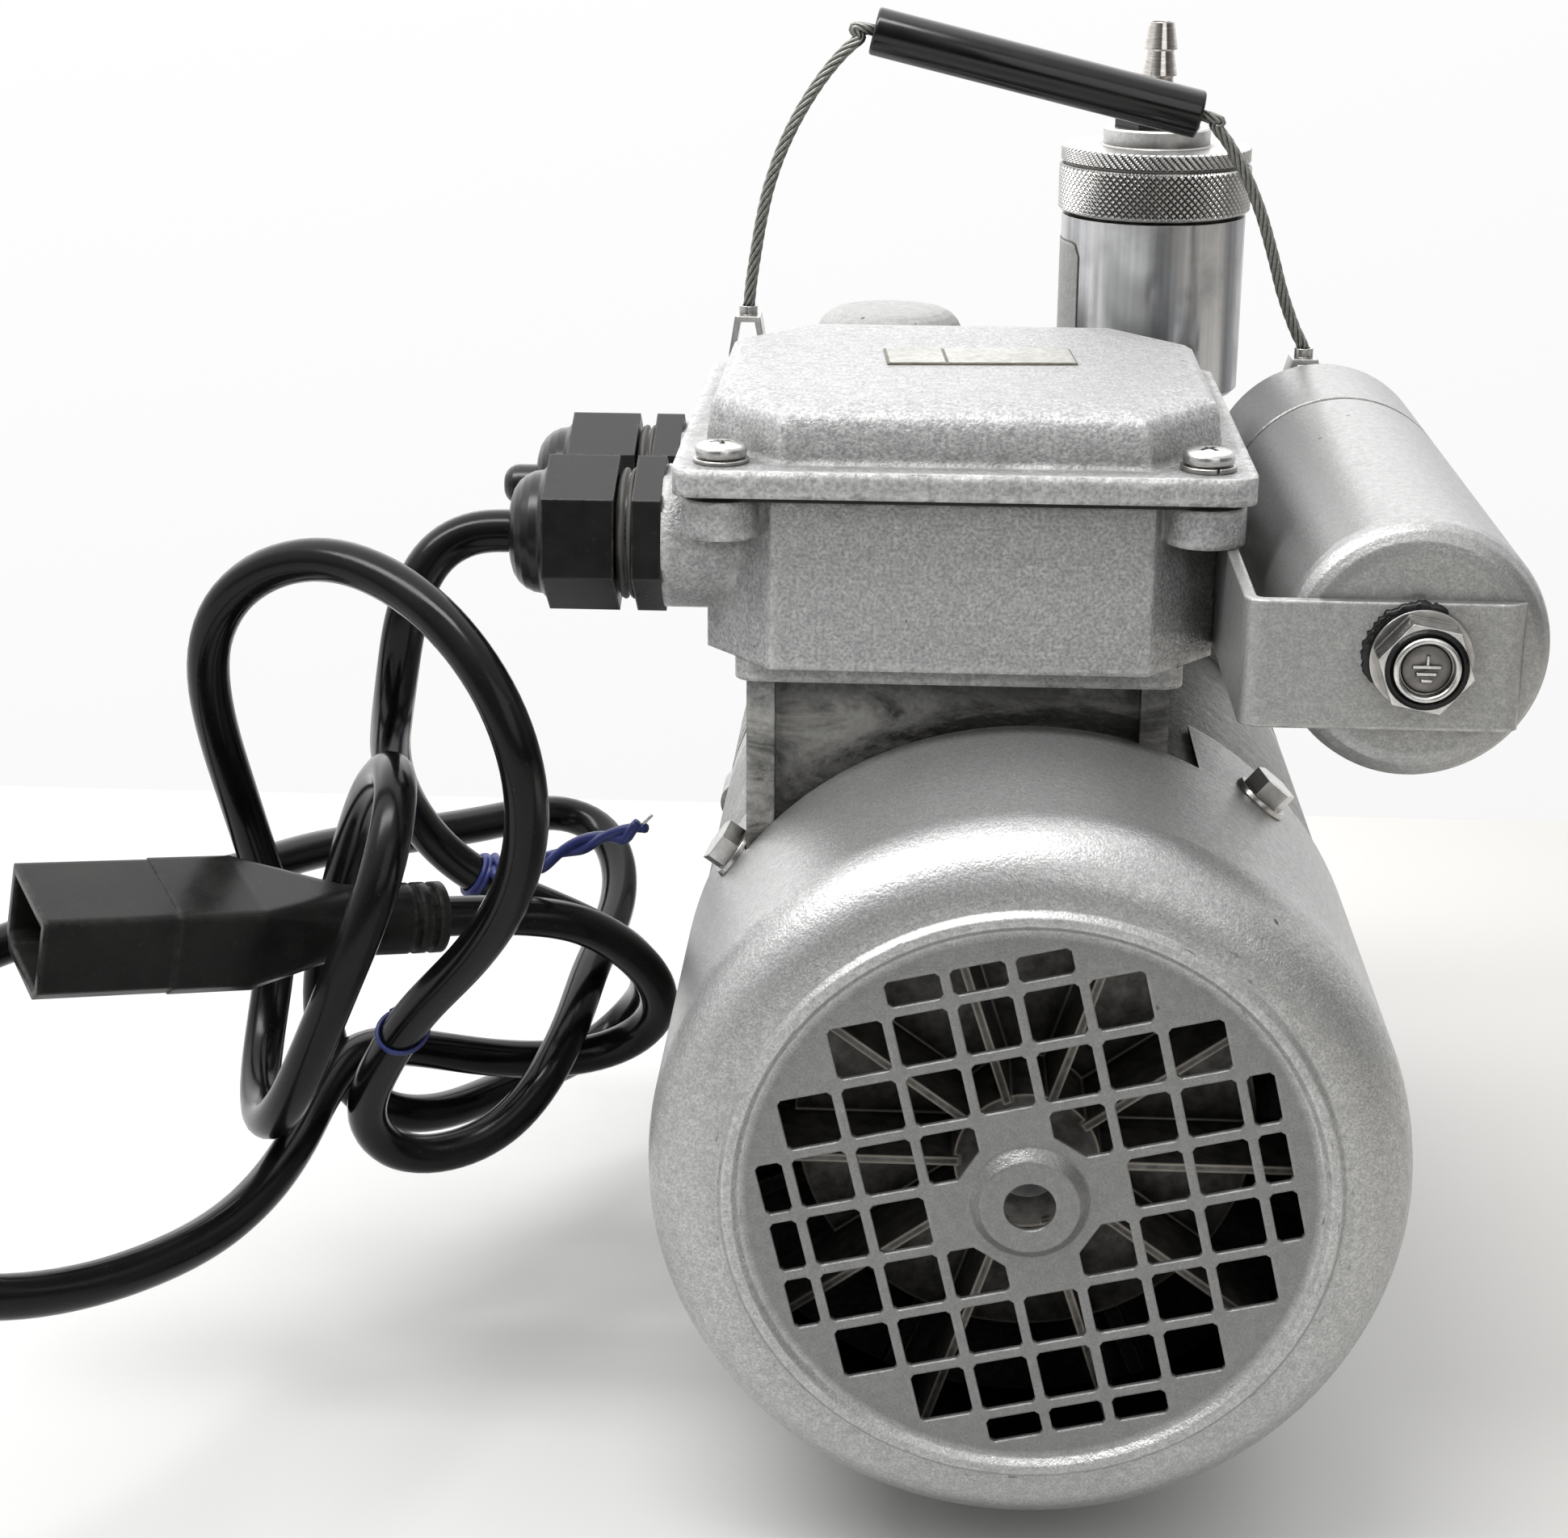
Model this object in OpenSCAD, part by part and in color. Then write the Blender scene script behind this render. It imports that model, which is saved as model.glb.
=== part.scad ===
// Rotary vane vacuum pump with a fan-cooled motor, millimetres.
// X is to the right seen from the fan end, Y runs from the fan to the pump
// head and Z is up. The origin lies on the ground, under the shaft, midway
// between the four feet. Modules draw in the shaft's frame, with the grille
// face at y = 0, and placed() moves them to the ground's.

/* [Placement] */
// Height of the shaft above the ground
axis_height = 76; // [74:1:84]
// Distance from the grille face to the middle of the feet
feet_centre_y = 150; // [146:1:154]
// Spacing of the feet across the shaft
foot_pitch_x = 76; // [70:1:80]
// Spacing of the feet along the shaft
foot_pitch_y = 92; // [88:1:94]

/* [Fan cowl] */
// Outside diameter of the cowl
cowl_d = 134; // [130:1:138]
// Length of the cowl
cowl_length = 86; // [82:1:90]
// Sheet thickness of the cowl
cowl_wall = 1; // [0.8:0.1:1.4]
// Radius of the rounded shoulder
shoulder_r = 13; // [10:1:13]
// Pitch of the grille holes
grille_pitch = 11.25; // [11:0.05:11.4]
// Side of one grille hole
grille_hole = 9.5; // [8:0.25:10]
// Turn of the grille about the shaft
grille_turn = 13.2; // [0:0.2:20]
// Diameter of the raised middle boss
cowl_boss_d = 20; // [18:1:21]
// Height of the raised middle boss
cowl_boss_rise = 1.8; // [1:0.2:2]
// Hole in the raised boss
cowl_boss_hole_d = 9; // [6:0.5:10]

/* [Fan] */
// Diameter over the fan blades
fan_d = 112; // [100:1:118]
// Number of fan blades
fan_blades = 10; // [8:1:12]
// Width of the fan blades along the shaft
fan_width = 18; // [14:1:19]

/* [Motor] */
// Start of the motor frame behind the grille face
frame_y0 = 52; // [50:1:54]
// Length of the motor frame
frame_length = 113; // [110:1:116]
// Outside diameter of the laminations
stator_d = 116; // [112:1:118]
// Bore of the laminations
stator_bore = 64; // [60:1:66]
// Length of the laminations
stack_length = 60; // [50:1:62]
// Number of stator slots
stator_slots = 12; // [8:2:16]
// Radial air gap of the motor
air_gap = 0.4; // [0.3:0.05:0.6]
// Shaft diameter in the motor rotor
shaft_d = 16; // [15.5:0.5:18]
// Shaft diameter in the fan and the rear bearing
fan_seat_d = 12; // [10:1:12]
// Shaft diameter in the front bearing
front_seat_d = 15; // [14:0.5:15]

/* [Terminal box] */
// Side of the square lid
lid_side = 103; // [100:1:106]
// Offset of the box from the shaft
box_x = -13.9; // [-14.5:0.1:-13]
// Middle of the box along the shaft
box_y = 98.5; // [97:0.5:100]
// Height of the top of the lid flange above the shaft
lid_top_z = 116.5; // [116:0.5:118]
// Thickness of the lid flange
lid_flange_t = 4.8; // [4:0.2:5.6]
// Height of the raised lid middle above the flange
lid_rise = 10.2; // [7:0.2:11]
// Width of the box body
box_width = 93; // [90:1:94]
// Wall of the box
box_wall = 4; // [3:0.5:5]
// Thickness of the box gasket
box_gasket_t = 1.2; // [1:0.1:1.6]
// Width of the neck under the box
neck_width = 77.6; // [74:0.2:80]

/* [Glands] */
// Width across flats of the gland hexagons
gland_af = 25; // [24:0.5:26]
// Thread diameter of the glands
gland_thread_d = 20; // [18:1:21]
// Height of the gland axes above the shaft
gland_z = 98.6; // [98:0.2:99]
// Spacing of the two glands
gland_pitch = 38; // [34:1:40]
// Cord diameter
cord_d = 8; // [7.4:0.1:8.2]

/* [Plug] */
// Length of the plug from its strain relief to its face
plug_length = 81; // [70:1:85]
// Width of the plug's shroud
plug_w = 25; // [24:0.5:28]
// Height of the plug's shroud
plug_h = 18; // [17:0.5:20]
// Wall of the plug's shroud
plug_wall = 2; // [1.5:0.1:2.5]
// Length of one contact pin
pin_length = 12.4; // [10:0.2:13]

/* [Capacitor] */
// Diameter of the capacitor can
capacitor_d = 45; // [42:1:46]
// Length of the capacitor can without its cap
can_length = 104; // [95:1:104]
// Length of the capacitor cap
can_cap_length = 38; // [30:1:38]
// Offset of the capacitor from the shaft
capacitor_x = 62; // [60:0.5:64]
// Height of the capacitor axis above the shaft
capacitor_z = 94; // [92:0.5:96]
// Width of the bracket strip
strip_width = 22; // [20:1:24]
// Thickness of the bracket strip
strip_t = 2; // [1.5:0.25:2.5]

/* [Pump head] */
// Bore of the pump cylinder
chamber_d = 80; // [78:0.5:82]
// Length of the pump cylinder
chamber_length = 40; // [38:1:42]
// Diameter of the pump rotor
rotor_d = 73; // [71:0.5:74]
// Thickness of one vane
vane_t = 4; // [3:0.5:5]
// Depth of one vane
vane_depth = 20; // [16:1:21]
// Height of the deck of the pump head above the shaft
deck_z = 92; // [90:1:94]
// Number of cooling fins round the cylinder
head_fins = 6; // [4:1:7]

/* [Intake filter] */
// Diameter of the filter cup
filter_d = 40.6; // [38:0.2:42]
// Offset of the intake and the exhaust from the shaft
port_x = 28.6; // [28:0.2:30]
// Height of the filter cup
filter_height = 40; // [36:1:42]
// Height of the knurled ring
ring_height = 10; // [8:1:12]
// Pitch of the filter ring thread
ring_thread_pitch = 1.5; // [1:0.25:2]

/* [Exhaust] */
// Diameter of the exhaust silencer
silencer_d = 33; // [30:1:35]
// Height of the exhaust silencer
silencer_height = 27; // [25:1:30]

/* [Handle] */
// Diameter of the wire rope
rope_d = 2.6; // [2.4:0.1:3]
// Diameter of the grip tube
grip_d = 10; // [9:0.5:12]
// Clearance of the grip tube round the rope
grip_play = 0.3; // [0.2:0.05:0.5]

/* [Hidden] */
$fn = 32;
round_fn = 64;        // facets round the large turned pieces
fit = 0.04;           // radial clearance of a running fit
seat = 0.3;           // clearance between pieces that do not touch
eps = 0.1;            // overshoot of a cut past the face that it opens

cowl_r = cowl_d / 2;
cowl_in_r = cowl_r - cowl_wall;
frame_r = cowl_in_r - seat;
frame_y1 = frame_y0 + frame_length;
frame_bore_r = stator_d / 2 + fit;
flange_t = 12;        // thickness of the drive end flange
side_plate_t = 7;
cover_t = 14;
flange_y1 = frame_y1 + flange_t;
cylinder_y0 = flange_y1 + side_plate_t;
cylinder_y1 = cylinder_y0 + chamber_length;
cover_y1 = cylinder_y1 + cover_t;
stack_y0 = frame_y0 + 26;
stack_y1 = stack_y0 + stack_length;
rotor_core_r = stator_bore / 2 - air_gap;
head_y = (cylinder_y0 + cylinder_y1) / 2;

// The frame of the shaft, moved to the ground between the feet
module placed() translate([0, -feet_centre_y, axis_height]) children();

// Turns a shape drawn along Z to run along Y, from y0
module along_y(y0 = 0, x = 0, z = 0)
  translate([x, y0, z]) rotate([-90, 0, 0]) children();

// Turns a shape drawn along Z to run along X towards the left, from x0
module along_left(x0, y, z)
  translate([x0, y, z]) rotate([0, -90, 0]) children();

// A plate with its outline drawn in X and Z, from y0 back to y0 + t
module plate_y(y0, t)
  translate([0, y0 + t, 0]) rotate([90, 0, 0]) linear_extrude(t) children();

module rod_y(r, y0, y1, x = 0, z = 0, fn = 32)
  along_y(y0, x, z) cylinder(r = r, h = y1 - y0, $fn = fn);

module rounded_square(w, l, r) offset(r, $fn = 16) square([w - 2 * r, l - 2 * r], center = true);

// A square with its corners cut off
module cut_square(w, l, cut_x, cut_y)
  polygon([
    [-w / 2 + cut_x, -l / 2], [w / 2 - cut_x, -l / 2],
    [w / 2, -l / 2 + cut_y], [w / 2, l / 2 - cut_y],
    [w / 2 - cut_x, l / 2], [-w / 2 + cut_x, l / 2],
    [-w / 2, l / 2 - cut_y], [-w / 2, -l / 2 + cut_y]
  ]);

function arc(cx, cy, r, a0, a1, steps) =
  [for (i = [0:steps]) let (a = a0 + (a1 - a0) * i / steps) [cx + r * cos(a), cy + r * sin(a)]];

/* Fan cowl */

bead_in_r = 50.3;     // the raised bead round the grille
bead_out_r = cowl_r - shoulder_r;
bead_rise = 1.2;
cowl_screw_y = 66;
cowl_screw_angles = [50, 145, 230, 320];
cowl_screw_d = 5;
notch_y = box_y - neck_width / 2 - seat;   // start of the notch that clears the neck
notch_x0 = box_x - neck_width / 2 - seat;
notch_x1 = box_x + neck_width / 2 + 6;

// Columns of whole holes in each row of the grille, from the middle row
grille_rows = [
  [0, [-3, -2, 2, 3]],
  [1, [-3, -2, -1, 1, 2, 3]],
  [2, [-3, -2, -1, 0, 1, 2, 3]],
  [3, [-2, -1, 0, 1, 2]]
];

function cowl_outline(offset_in) = concat(
  [[cowl_boss_hole_d / 2, offset_in - cowl_boss_rise],
   [cowl_boss_d / 2 - 1.5, offset_in - cowl_boss_rise],
   [cowl_boss_d / 2 + 0.5, offset_in],
   [bead_in_r, offset_in],
   [bead_in_r + 1.2, offset_in - bead_rise],
   [bead_out_r - 1, offset_in - bead_rise]],
  arc(cowl_r - shoulder_r, shoulder_r, shoulder_r - offset_in, -90, 0, 6),
  [[cowl_r - offset_in, cowl_length]]
);

function reversed(list) = [for (i = [len(list) - 1:-1:0]) list[i]];

module grille_holes_2d() {
  half = grille_hole / 2;
  cut = 0.7;
  for (row = grille_rows, col = row[1], side = row[0] == 0 ? [1] : [-1, 1])
    translate([col, side * row[0]] * grille_pitch) cut_square(grille_hole, grille_hole, cut, cut);
  for (col = [-1:1], side = [-1, 1]) {
    translate([col * grille_pitch, side * (4 * grille_pitch - half / 2)])
      cut_square(grille_hole, half, cut, cut);
    translate([side * (4 * grille_pitch - half / 2), col * grille_pitch])
      cut_square(half, grille_hole, cut, cut);
  }
}

module fan_cowl() {
  web_cut = cowl_boss_d / 2 + 2.5;
  color([0.72, 0.72, 0.71]) placed() difference() {
    along_y() rotate_extrude($fn = round_fn)
      polygon(concat(cowl_outline(0), reversed(cowl_outline(cowl_wall))));
    plate_y(-1, 4) rotate(grille_turn) difference() {
      grille_holes_2d();
      rotate(22.5) circle(r = web_cut / cos(22.5), $fn = 8);
    }
    translate([notch_x0, notch_y, 0])
      cube([notch_x1 - notch_x0, cowl_length - notch_y + eps, cowl_r + eps]);
    for (a = cowl_screw_angles) radial(a, cowl_screw_y)
      translate([0, 0, frame_r - 2]) cylinder(d = cowl_screw_d + 0.4, h = 6, $fn = 16);
  }
}

// Points +Z away from the shaft, at an angle from +X towards +Z
module radial(angle, y) translate([0, y, 0]) rotate([0, 90 - angle, 0]) children();

module cowl_screws() {
  color("silver") placed() for (a = cowl_screw_angles) radial(a, cowl_screw_y) {
    translate([0, 0, cowl_r]) cylinder(d1 = 11, d2 = 10.4, h = 1, $fn = 24);
    translate([0, 0, cowl_r + 1]) cylinder(d = 9.2, h = 3.6, $fn = 6);
    translate([0, 0, frame_r - 7]) cylinder(d = cowl_screw_d, h = cowl_r - frame_r + 7, $fn = 16);
  }
}

/* Fan */

fan_y0 = 15;
fan_hub_r = 13;
fan_back_t = 2;

module cooling_fan() {
  back_y = fan_y0 + fan_width;
  color([0.55, 0.55, 0.54]) placed() difference() {
    union() {
      rod_y(fan_hub_r, fan_y0 + 1, back_y + fan_back_t + 4);
      rod_y(fan_d / 2 - 14, back_y, back_y + fan_back_t, fn = 48);
      for (i = [0:fan_blades - 1]) rotate([0, i * 360 / fan_blades, 0])
        translate([fan_hub_r - 1, fan_y0, -0.8])
          cube([fan_d / 2 - fan_hub_r + 1, fan_width + fan_back_t, 1.6]);
    }
    rod_y(fan_seat_d / 2 + fit, fan_y0 - 1, back_y + fan_back_t + 5);
  }
}

/* Motor */

rear_bearing_od = 32;
rear_bearing_w = 10;
front_bearing_od = 35;
front_bearing_w = 11;
rear_bearing_y0 = frame_y0 - rear_bearing_w - 1;
shield_t = 6;
shield_ribs = 8;

module rear_end_shield() {
  color([0.6, 0.6, 0.59]) placed() difference() {
    union() {
      rod_y(frame_r - 2, frame_y0 - shield_t, frame_y0, fn = round_fn);
      rod_y(frame_bore_r - seat, frame_y0 - 1, frame_y0 + 4, fn = round_fn);
      rod_y(rear_bearing_od / 2 + 6, rear_bearing_y0 - 2, frame_y0 + 2);
      for (i = [0:shield_ribs - 1]) rotate([0, (i + 0.5) * 360 / shield_ribs, 0])
        translate([rear_bearing_od / 2, rear_bearing_y0 + 1, -1.5])
          cube([frame_r - 4 - rear_bearing_od / 2, rear_bearing_w, 3]);
    }
    rod_y(rear_bearing_od / 2 + fit, rear_bearing_y0 - 3, rear_bearing_y0 + rear_bearing_w);
    rod_y(rear_bearing_od / 2 - 4, rear_bearing_y0, frame_y0 + 5);
  }
}

module bearing(od, bore, y0, w) {
  color("gainsboro") placed() difference() {
    rod_y(od / 2, y0, y0 + w, fn = 48);
    rod_y(bore / 2 + fit, y0 - 1, y0 + w + 1);
    difference() {
      rod_y(od / 2 - 2.5, y0 - 1, y0 + 0.6);
      rod_y(bore / 2 + 2.5, y0 - 2, y0 + 1);
    }
  }
}

module rear_bearing() bearing(rear_bearing_od, fan_seat_d, rear_bearing_y0, rear_bearing_w - 0.1);
module front_bearing() bearing(front_bearing_od, front_seat_d, frame_y1 + 0.1, front_bearing_w);

neck_y0 = box_y - neck_width / 2;
neck_y1 = box_y + neck_width / 2;
collar_z0 = 75;       // underside of the collar of the box
post_width = 5.2;
foot_bar_w = 100;
foot_bar_t = 20;
foot_h = 8;
foot_top_z = foot_h - axis_height;
front_feet_y = feet_centre_y - foot_pitch_y / 2;
rear_feet_y = feet_centre_y + foot_pitch_y / 2;

// A cast bar under a round body, with its middle cut away
module foot_bar(y) {
  difference() {
    translate([-foot_bar_w / 2, y - foot_bar_t / 2, foot_top_z])
      cube([foot_bar_w, foot_bar_t, -foot_top_z - 44]);
    translate([-foot_bar_w / 4, y - foot_bar_t, foot_top_z - eps])
      cube([foot_bar_w / 2, 2 * foot_bar_t, 6]);
  }
}

module foot_holes(y) {
  for (side = [-1, 1])
    translate([side * foot_pitch_x / 2, y, foot_top_z - eps]) cylinder(d = 6, h = 12, $fn = 16);
}

module motor_frame() {
  color([0.66, 0.66, 0.65]) placed() difference() {
    union() {
      rod_y(frame_r, frame_y0, frame_y1, fn = round_fn);
      difference() {
        translate([box_x - neck_width / 2, neck_y0, 30])
          cube([neck_width, neck_width, collar_z0 - 30]);
        for (a = cowl_screw_angles) radial(a, cowl_screw_y)
          translate([0, 0, frame_r - 3]) cylinder(d = 11.8, h = 12, $fn = 24);
      }
      foot_bar(front_feet_y);
    }
    rod_y(frame_bore_r, frame_y0 - 1, frame_y1 + 1, fn = round_fn);
    // sunk panels in the front and the rear of the neck
    for (y = [neck_y0 - eps, neck_y1 - 4.5])
      translate([box_x - neck_width / 2 + post_width, y, frame_r - 27])
        cube([neck_width - 2 * post_width, 4.5 + eps, collar_z0 - frame_r + 27 + eps]);
    // way for the wires, up into the box
    translate([box_x - 18, box_y - 18, 30]) cube([36, 36, 60]);
    foot_holes(front_feet_y);
    for (a = cowl_screw_angles) radial(a, cowl_screw_y)
      translate([0, 0, frame_r - 7.2]) cylinder(d = cowl_screw_d + 2 * fit, h = 9, $fn = 16);
  }
}

slot_in_r = stator_bore / 2 + 2;
slot_out_r = stator_d / 2 - 11;
slot_w = 9;

module slots_2d(w, r0, r1) {
  for (i = [0:stator_slots - 1]) rotate((i + 0.5) * 360 / stator_slots)
    translate([r0, -w / 2]) square([r1 - r0, w]);
}

module stator_core() {
  color([0.45, 0.45, 0.47]) placed() plate_y(stack_y0, stack_length) difference() {
    circle(d = stator_d, $fn = round_fn);
    circle(d = stator_bore, $fn = 48);
    slots_2d(slot_w, slot_in_r, slot_out_r);
  }
}

module stator_windings() {
  head = 14;
  color([0.72, 0.42, 0.18]) placed() {
    plate_y(stack_y0 - 0.5, stack_length + 1)
      slots_2d(slot_w - 2 * seat, slot_in_r + seat, slot_out_r - seat);
    for (y = [stack_y0 - head - seat, stack_y1 + seat]) along_y(y)
      rotate_extrude($fn = 48)
        translate([(slot_in_r + slot_out_r) / 2, head / 2])
          rounded_square(slot_out_r - slot_in_r, head, 3);
  }
}

module rotor_core() {
  ring = 7;
  color([0.5, 0.5, 0.52]) placed() difference() {
    union() {
      rod_y(rotor_core_r, stack_y0, stack_y1, fn = 48);
      rod_y(rotor_core_r - 2, stack_y0 - ring, stack_y1 + ring, fn = 48);
    }
    rod_y(shaft_d / 2 + fit, stack_y0 - ring - 1, stack_y1 + ring + 1);
    for (y = [stack_y0 - ring - 1, stack_y1 + 1])
      rod_y(rotor_core_r - 10, y, y + ring);
  }
}

shaft_y0 = fan_y0 - 1;
rotor_seat_d = 14;

module shaft() {
  color("lightgray") placed() {
    rod_y(fan_seat_d / 2, shaft_y0, rear_bearing_y0 + rear_bearing_w);
    rod_y(shaft_d / 2, rear_bearing_y0 + rear_bearing_w, frame_y1);
    rod_y(front_seat_d / 2, frame_y1, cylinder_y0);
    rod_y(rotor_seat_d / 2, cylinder_y0, cylinder_y1 - 0.5);
  }
}

/* Terminal box */

collar_t = 4;
box_z0 = collar_z0 + collar_t;
box_z1 = lid_top_z - lid_flange_t - box_gasket_t;
box_cut = 12.5;
box_cut_y = 15;
lid_screw_at = lid_side / 2 - 8.4;
lid_screw_d = 5;
gland_boss_d = 27;
gland_boss_l = 8;
front_gland_y = box_y + 12.5 - gland_pitch;
gland_ys = [front_gland_y, front_gland_y + gland_pitch];
gland_face_x = box_x - box_width / 2 - gland_boss_l;

module at_box(z) translate([box_x, box_y, z]) children();

module box_outline(inset = 0)
  cut_square(box_width - 2 * inset, box_width - 2 * inset, box_cut - inset / 2, box_cut_y - inset / 2);

module at_lid_corners(z)
  for (sx = [-1, 1], sy = [-1, 1]) at_box(z) translate([sx, sy] * lid_screw_at) children();

module terminal_box() {
  color([0.7, 0.7, 0.69]) placed() difference() {
    union() {
      at_box(collar_z0) linear_extrude(collar_t) rounded_square(neck_width + 4.4, neck_width + 4.4, 4);
      at_box(box_z0) linear_extrude(box_z1 - box_z0) box_outline();
      at_lid_corners(box_z1 - 7) cylinder(r = 7.2, h = 7, $fn = 24);
      for (y = gland_ys) along_left(box_x - box_width / 2 + 8, y, gland_z)
        cylinder(d = gland_boss_d, h = gland_boss_l + 8);
    }
    at_box(box_z0 + 1) linear_extrude(box_z1) box_outline(box_wall);
    // the gland bosses end level with the rim
    at_box(box_z1) translate([-box_width, -box_width, 0])
      cube([2 * box_width, 2 * box_width, gland_boss_d]);
    at_box(collar_z0 - 1) translate([-18, -18, 0]) cube([36, 36, 8]);
    at_lid_corners(box_z1 - 6) cylinder(d = lid_screw_d + 2 * fit, h = 8, $fn = 16);
    for (y = gland_ys) along_left(box_x - box_width / 2 + box_wall + 1, y, gland_z)
      cylinder(d = gland_thread_d + 2 * fit, h = gland_boss_l + box_wall + 2);
  }
}

module box_gasket() {
  color([0.15, 0.15, 0.15]) placed() at_box(box_z1) linear_extrude(box_gasket_t) difference() {
    rounded_square(lid_side - 5, lid_side - 5, 3);
    box_outline(box_wall);
    for (sx = [-1, 1], sy = [-1, 1]) translate([sx, sy] * lid_screw_at)
      circle(d = lid_screw_d + 1, $fn = 16);
  }
}

rise_w = lid_side - 9;
rise_l = lid_side - 11;
rise_cut_x = 14;
rise_cut_y = 18;

// The raised middle of the lid, drawn in by each step's inset
module lid_rise_shape(inset, height) {
  steps = [[0, 0], [0.8, height - 3.6], [1.5, height - 1.8], [3.2, height - 0.7], [9, height]];
  hull() for (step = steps)
    translate([0, 1, step[1]]) linear_extrude(eps)
      cut_square(rise_w - 2 * (step[0] + inset), rise_l - 2 * (step[0] + inset), rise_cut_x, rise_cut_y);
}

module terminal_lid() {
  flange_z0 = lid_top_z - lid_flange_t;
  color([0.74, 0.74, 0.73]) placed() difference() {
    union() {
      at_box(flange_z0) linear_extrude(lid_flange_t) rounded_square(lid_side, lid_side, 4);
      at_box(lid_top_z - eps) lid_rise_shape(0, lid_rise);
    }
    at_box(flange_z0 - eps) lid_rise_shape(5, lid_rise + lid_flange_t - 3);
    at_lid_corners(flange_z0 - 1) cylinder(d = lid_screw_d + 0.6, h = lid_flange_t + 2, $fn = 16);
  }
}

module lid_screws() {
  color("silver") placed() {
    at_lid_corners(lid_top_z) cylinder(d = 9.6, h = 0.9, $fn = 24);
    at_lid_corners(lid_top_z + 0.9) rotate_extrude($fn = 24)
      polygon([[0, 0], [4.3, 0], [4.3, 2], [3.2, 3.2], [0, 3.5]]);
    at_lid_corners(box_z1 - 4) cylinder(d = lid_screw_d, h = lid_top_z - box_z1 + 4, $fn = 16);
  }
}

module terminal_block() {
  block_z = box_z0 + 1;
  color([0.2, 0.2, 0.2]) placed() at_box(block_z) {
    translate([4, 22, 0]) {
      translate([-26, -9, 0]) cube([52, 18, 9]);
      for (i = [-2:2]) translate([i * 10 - 0.8, -9, 8]) cube([1.6, 18, 7]);
    }
    for (i = [0:3], sy = [-5, 5]) translate([i * 10 - 11, 22 + sy, 8]) cylinder(d = 5, h = 6, $fn = 16);
  }
}

/* Cable glands */

gland_hex_t = 5.4;
gland_neck_l = 3;
gland_nut_hex = 13.5;
gland_nut_l = 20.4;
gland_body_x = gland_face_x;
gland_nut_x = gland_body_x - gland_hex_t - gland_neck_l;
gland_end_x = gland_nut_x - gland_nut_l;
gland_neck_d = gland_thread_d + 2.4;
gland_sleeve_d = gland_thread_d - 3;
gland_bore_d = cord_d + 2.5;
hex_corner = 1 / cos(30);

module gland_body(y) {
  color([0.1, 0.1, 0.1]) placed() difference() {
    union() {
      along_left(gland_body_x + gland_boss_l + box_wall, y, gland_z)
        cylinder(d = gland_thread_d, h = gland_boss_l + box_wall);
      along_left(gland_body_x, y, gland_z) rotate(8)
        cylinder(d = gland_af * hex_corner, h = gland_hex_t, $fn = 6);
      along_left(gland_body_x - gland_hex_t, y, gland_z)
        cylinder(d = gland_neck_d, h = gland_neck_l);
      along_left(gland_nut_x, y, gland_z) cylinder(d = gland_sleeve_d, h = gland_nut_hex - 3);
    }
    along_left(gland_body_x + gland_boss_l + box_wall + 1, y, gland_z)
      cylinder(d = gland_bore_d, h = gland_boss_l + box_wall + gland_hex_t + gland_neck_l + gland_nut_hex);
  }
}

module gland_nut(y, hole_d) {
  dome = gland_nut_l - gland_nut_hex;
  r = gland_af / 2;
  color([0.1, 0.1, 0.1]) placed() difference() {
    union() {
      along_left(gland_nut_x - seat, y, gland_z) rotate(8)
        cylinder(d = gland_af * hex_corner, h = gland_nut_hex - seat, $fn = 6);
      along_left(gland_nut_x - gland_nut_hex, y, gland_z) rotate_extrude()
        polygon(concat([[0, 0], [r, 0]], arc(r - dome, 1, dome - 1, 0, 80, 5), [[0, dome]]));
    }
    along_left(gland_nut_x + 1, y, gland_z)
      cylinder(d = gland_sleeve_d + 2 * seat, h = gland_nut_hex - 1);
    along_left(gland_nut_x + 1, y, gland_z) cylinder(d = hole_d, h = gland_nut_l + 2);
  }
}

module front_gland_body() gland_body(gland_ys[0]);
module rear_gland_body() gland_body(gland_ys[1]);
module front_gland_nut() gland_nut(gland_ys[0], cord_d + 2 * seat);
module rear_gland_nut() gland_nut(gland_ys[1], plug_d + 2 * fit);

module front_gland_seal() {
  color([0.15, 0.15, 0.15]) placed() difference() {
    along_left(gland_nut_x + 6, gland_ys[0], gland_z) cylinder(d = gland_bore_d - 2 * fit, h = 14);
    along_left(gland_nut_x + 7, gland_ys[0], gland_z) cylinder(d = cord_d + 2 * fit, h = 16);
  }
}

plug_d = 8;
plug_out = 7;

module gland_plug() {
  color([0.12, 0.12, 0.12]) placed() along_left(gland_nut_x + 6, gland_ys[1], gland_z)
    rotate_extrude() polygon(concat(
      [[0, 0], [plug_d / 2, 0]],
      arc(plug_d / 2 - 3, gland_nut_l + 6 + plug_out - 3, 3, 0, 90, 5),
      [[0, gland_nut_l + 6 + plug_out]]));
}

/* Capacitor */

can_y0 = 18.5;
can_y1 = can_y0 + can_length;
can_cap_y1 = can_y1 + can_cap_length;
can_r = capacitor_d / 2;
strip_y0 = can_y0 - strip_t;
strip_x = box_x + box_width / 2 + 0.1;
strip_reach = 86;     // length of the leg along the box
strip_z = capacitor_z - 1.6;
stud_d = 8;
strip_screw_ys = [14, 34];

module capacitor_can() {
  color([0.73, 0.73, 0.72]) placed() along_y(can_y0, capacitor_x, capacitor_z)
    rotate_extrude($fn = 48) difference() {
      polygon(concat([[0, 0]], arc(can_r - 5, 5, 5, -90, 0, 4),
        [[can_r, can_length - 2], [can_r - 0.8, can_length - 1.6], [can_r - 0.8, can_length],
         [0, can_length]]));
      translate([-1, -1]) square([stud_d / 2 + fit + 1, 13]);
    }
}

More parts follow.
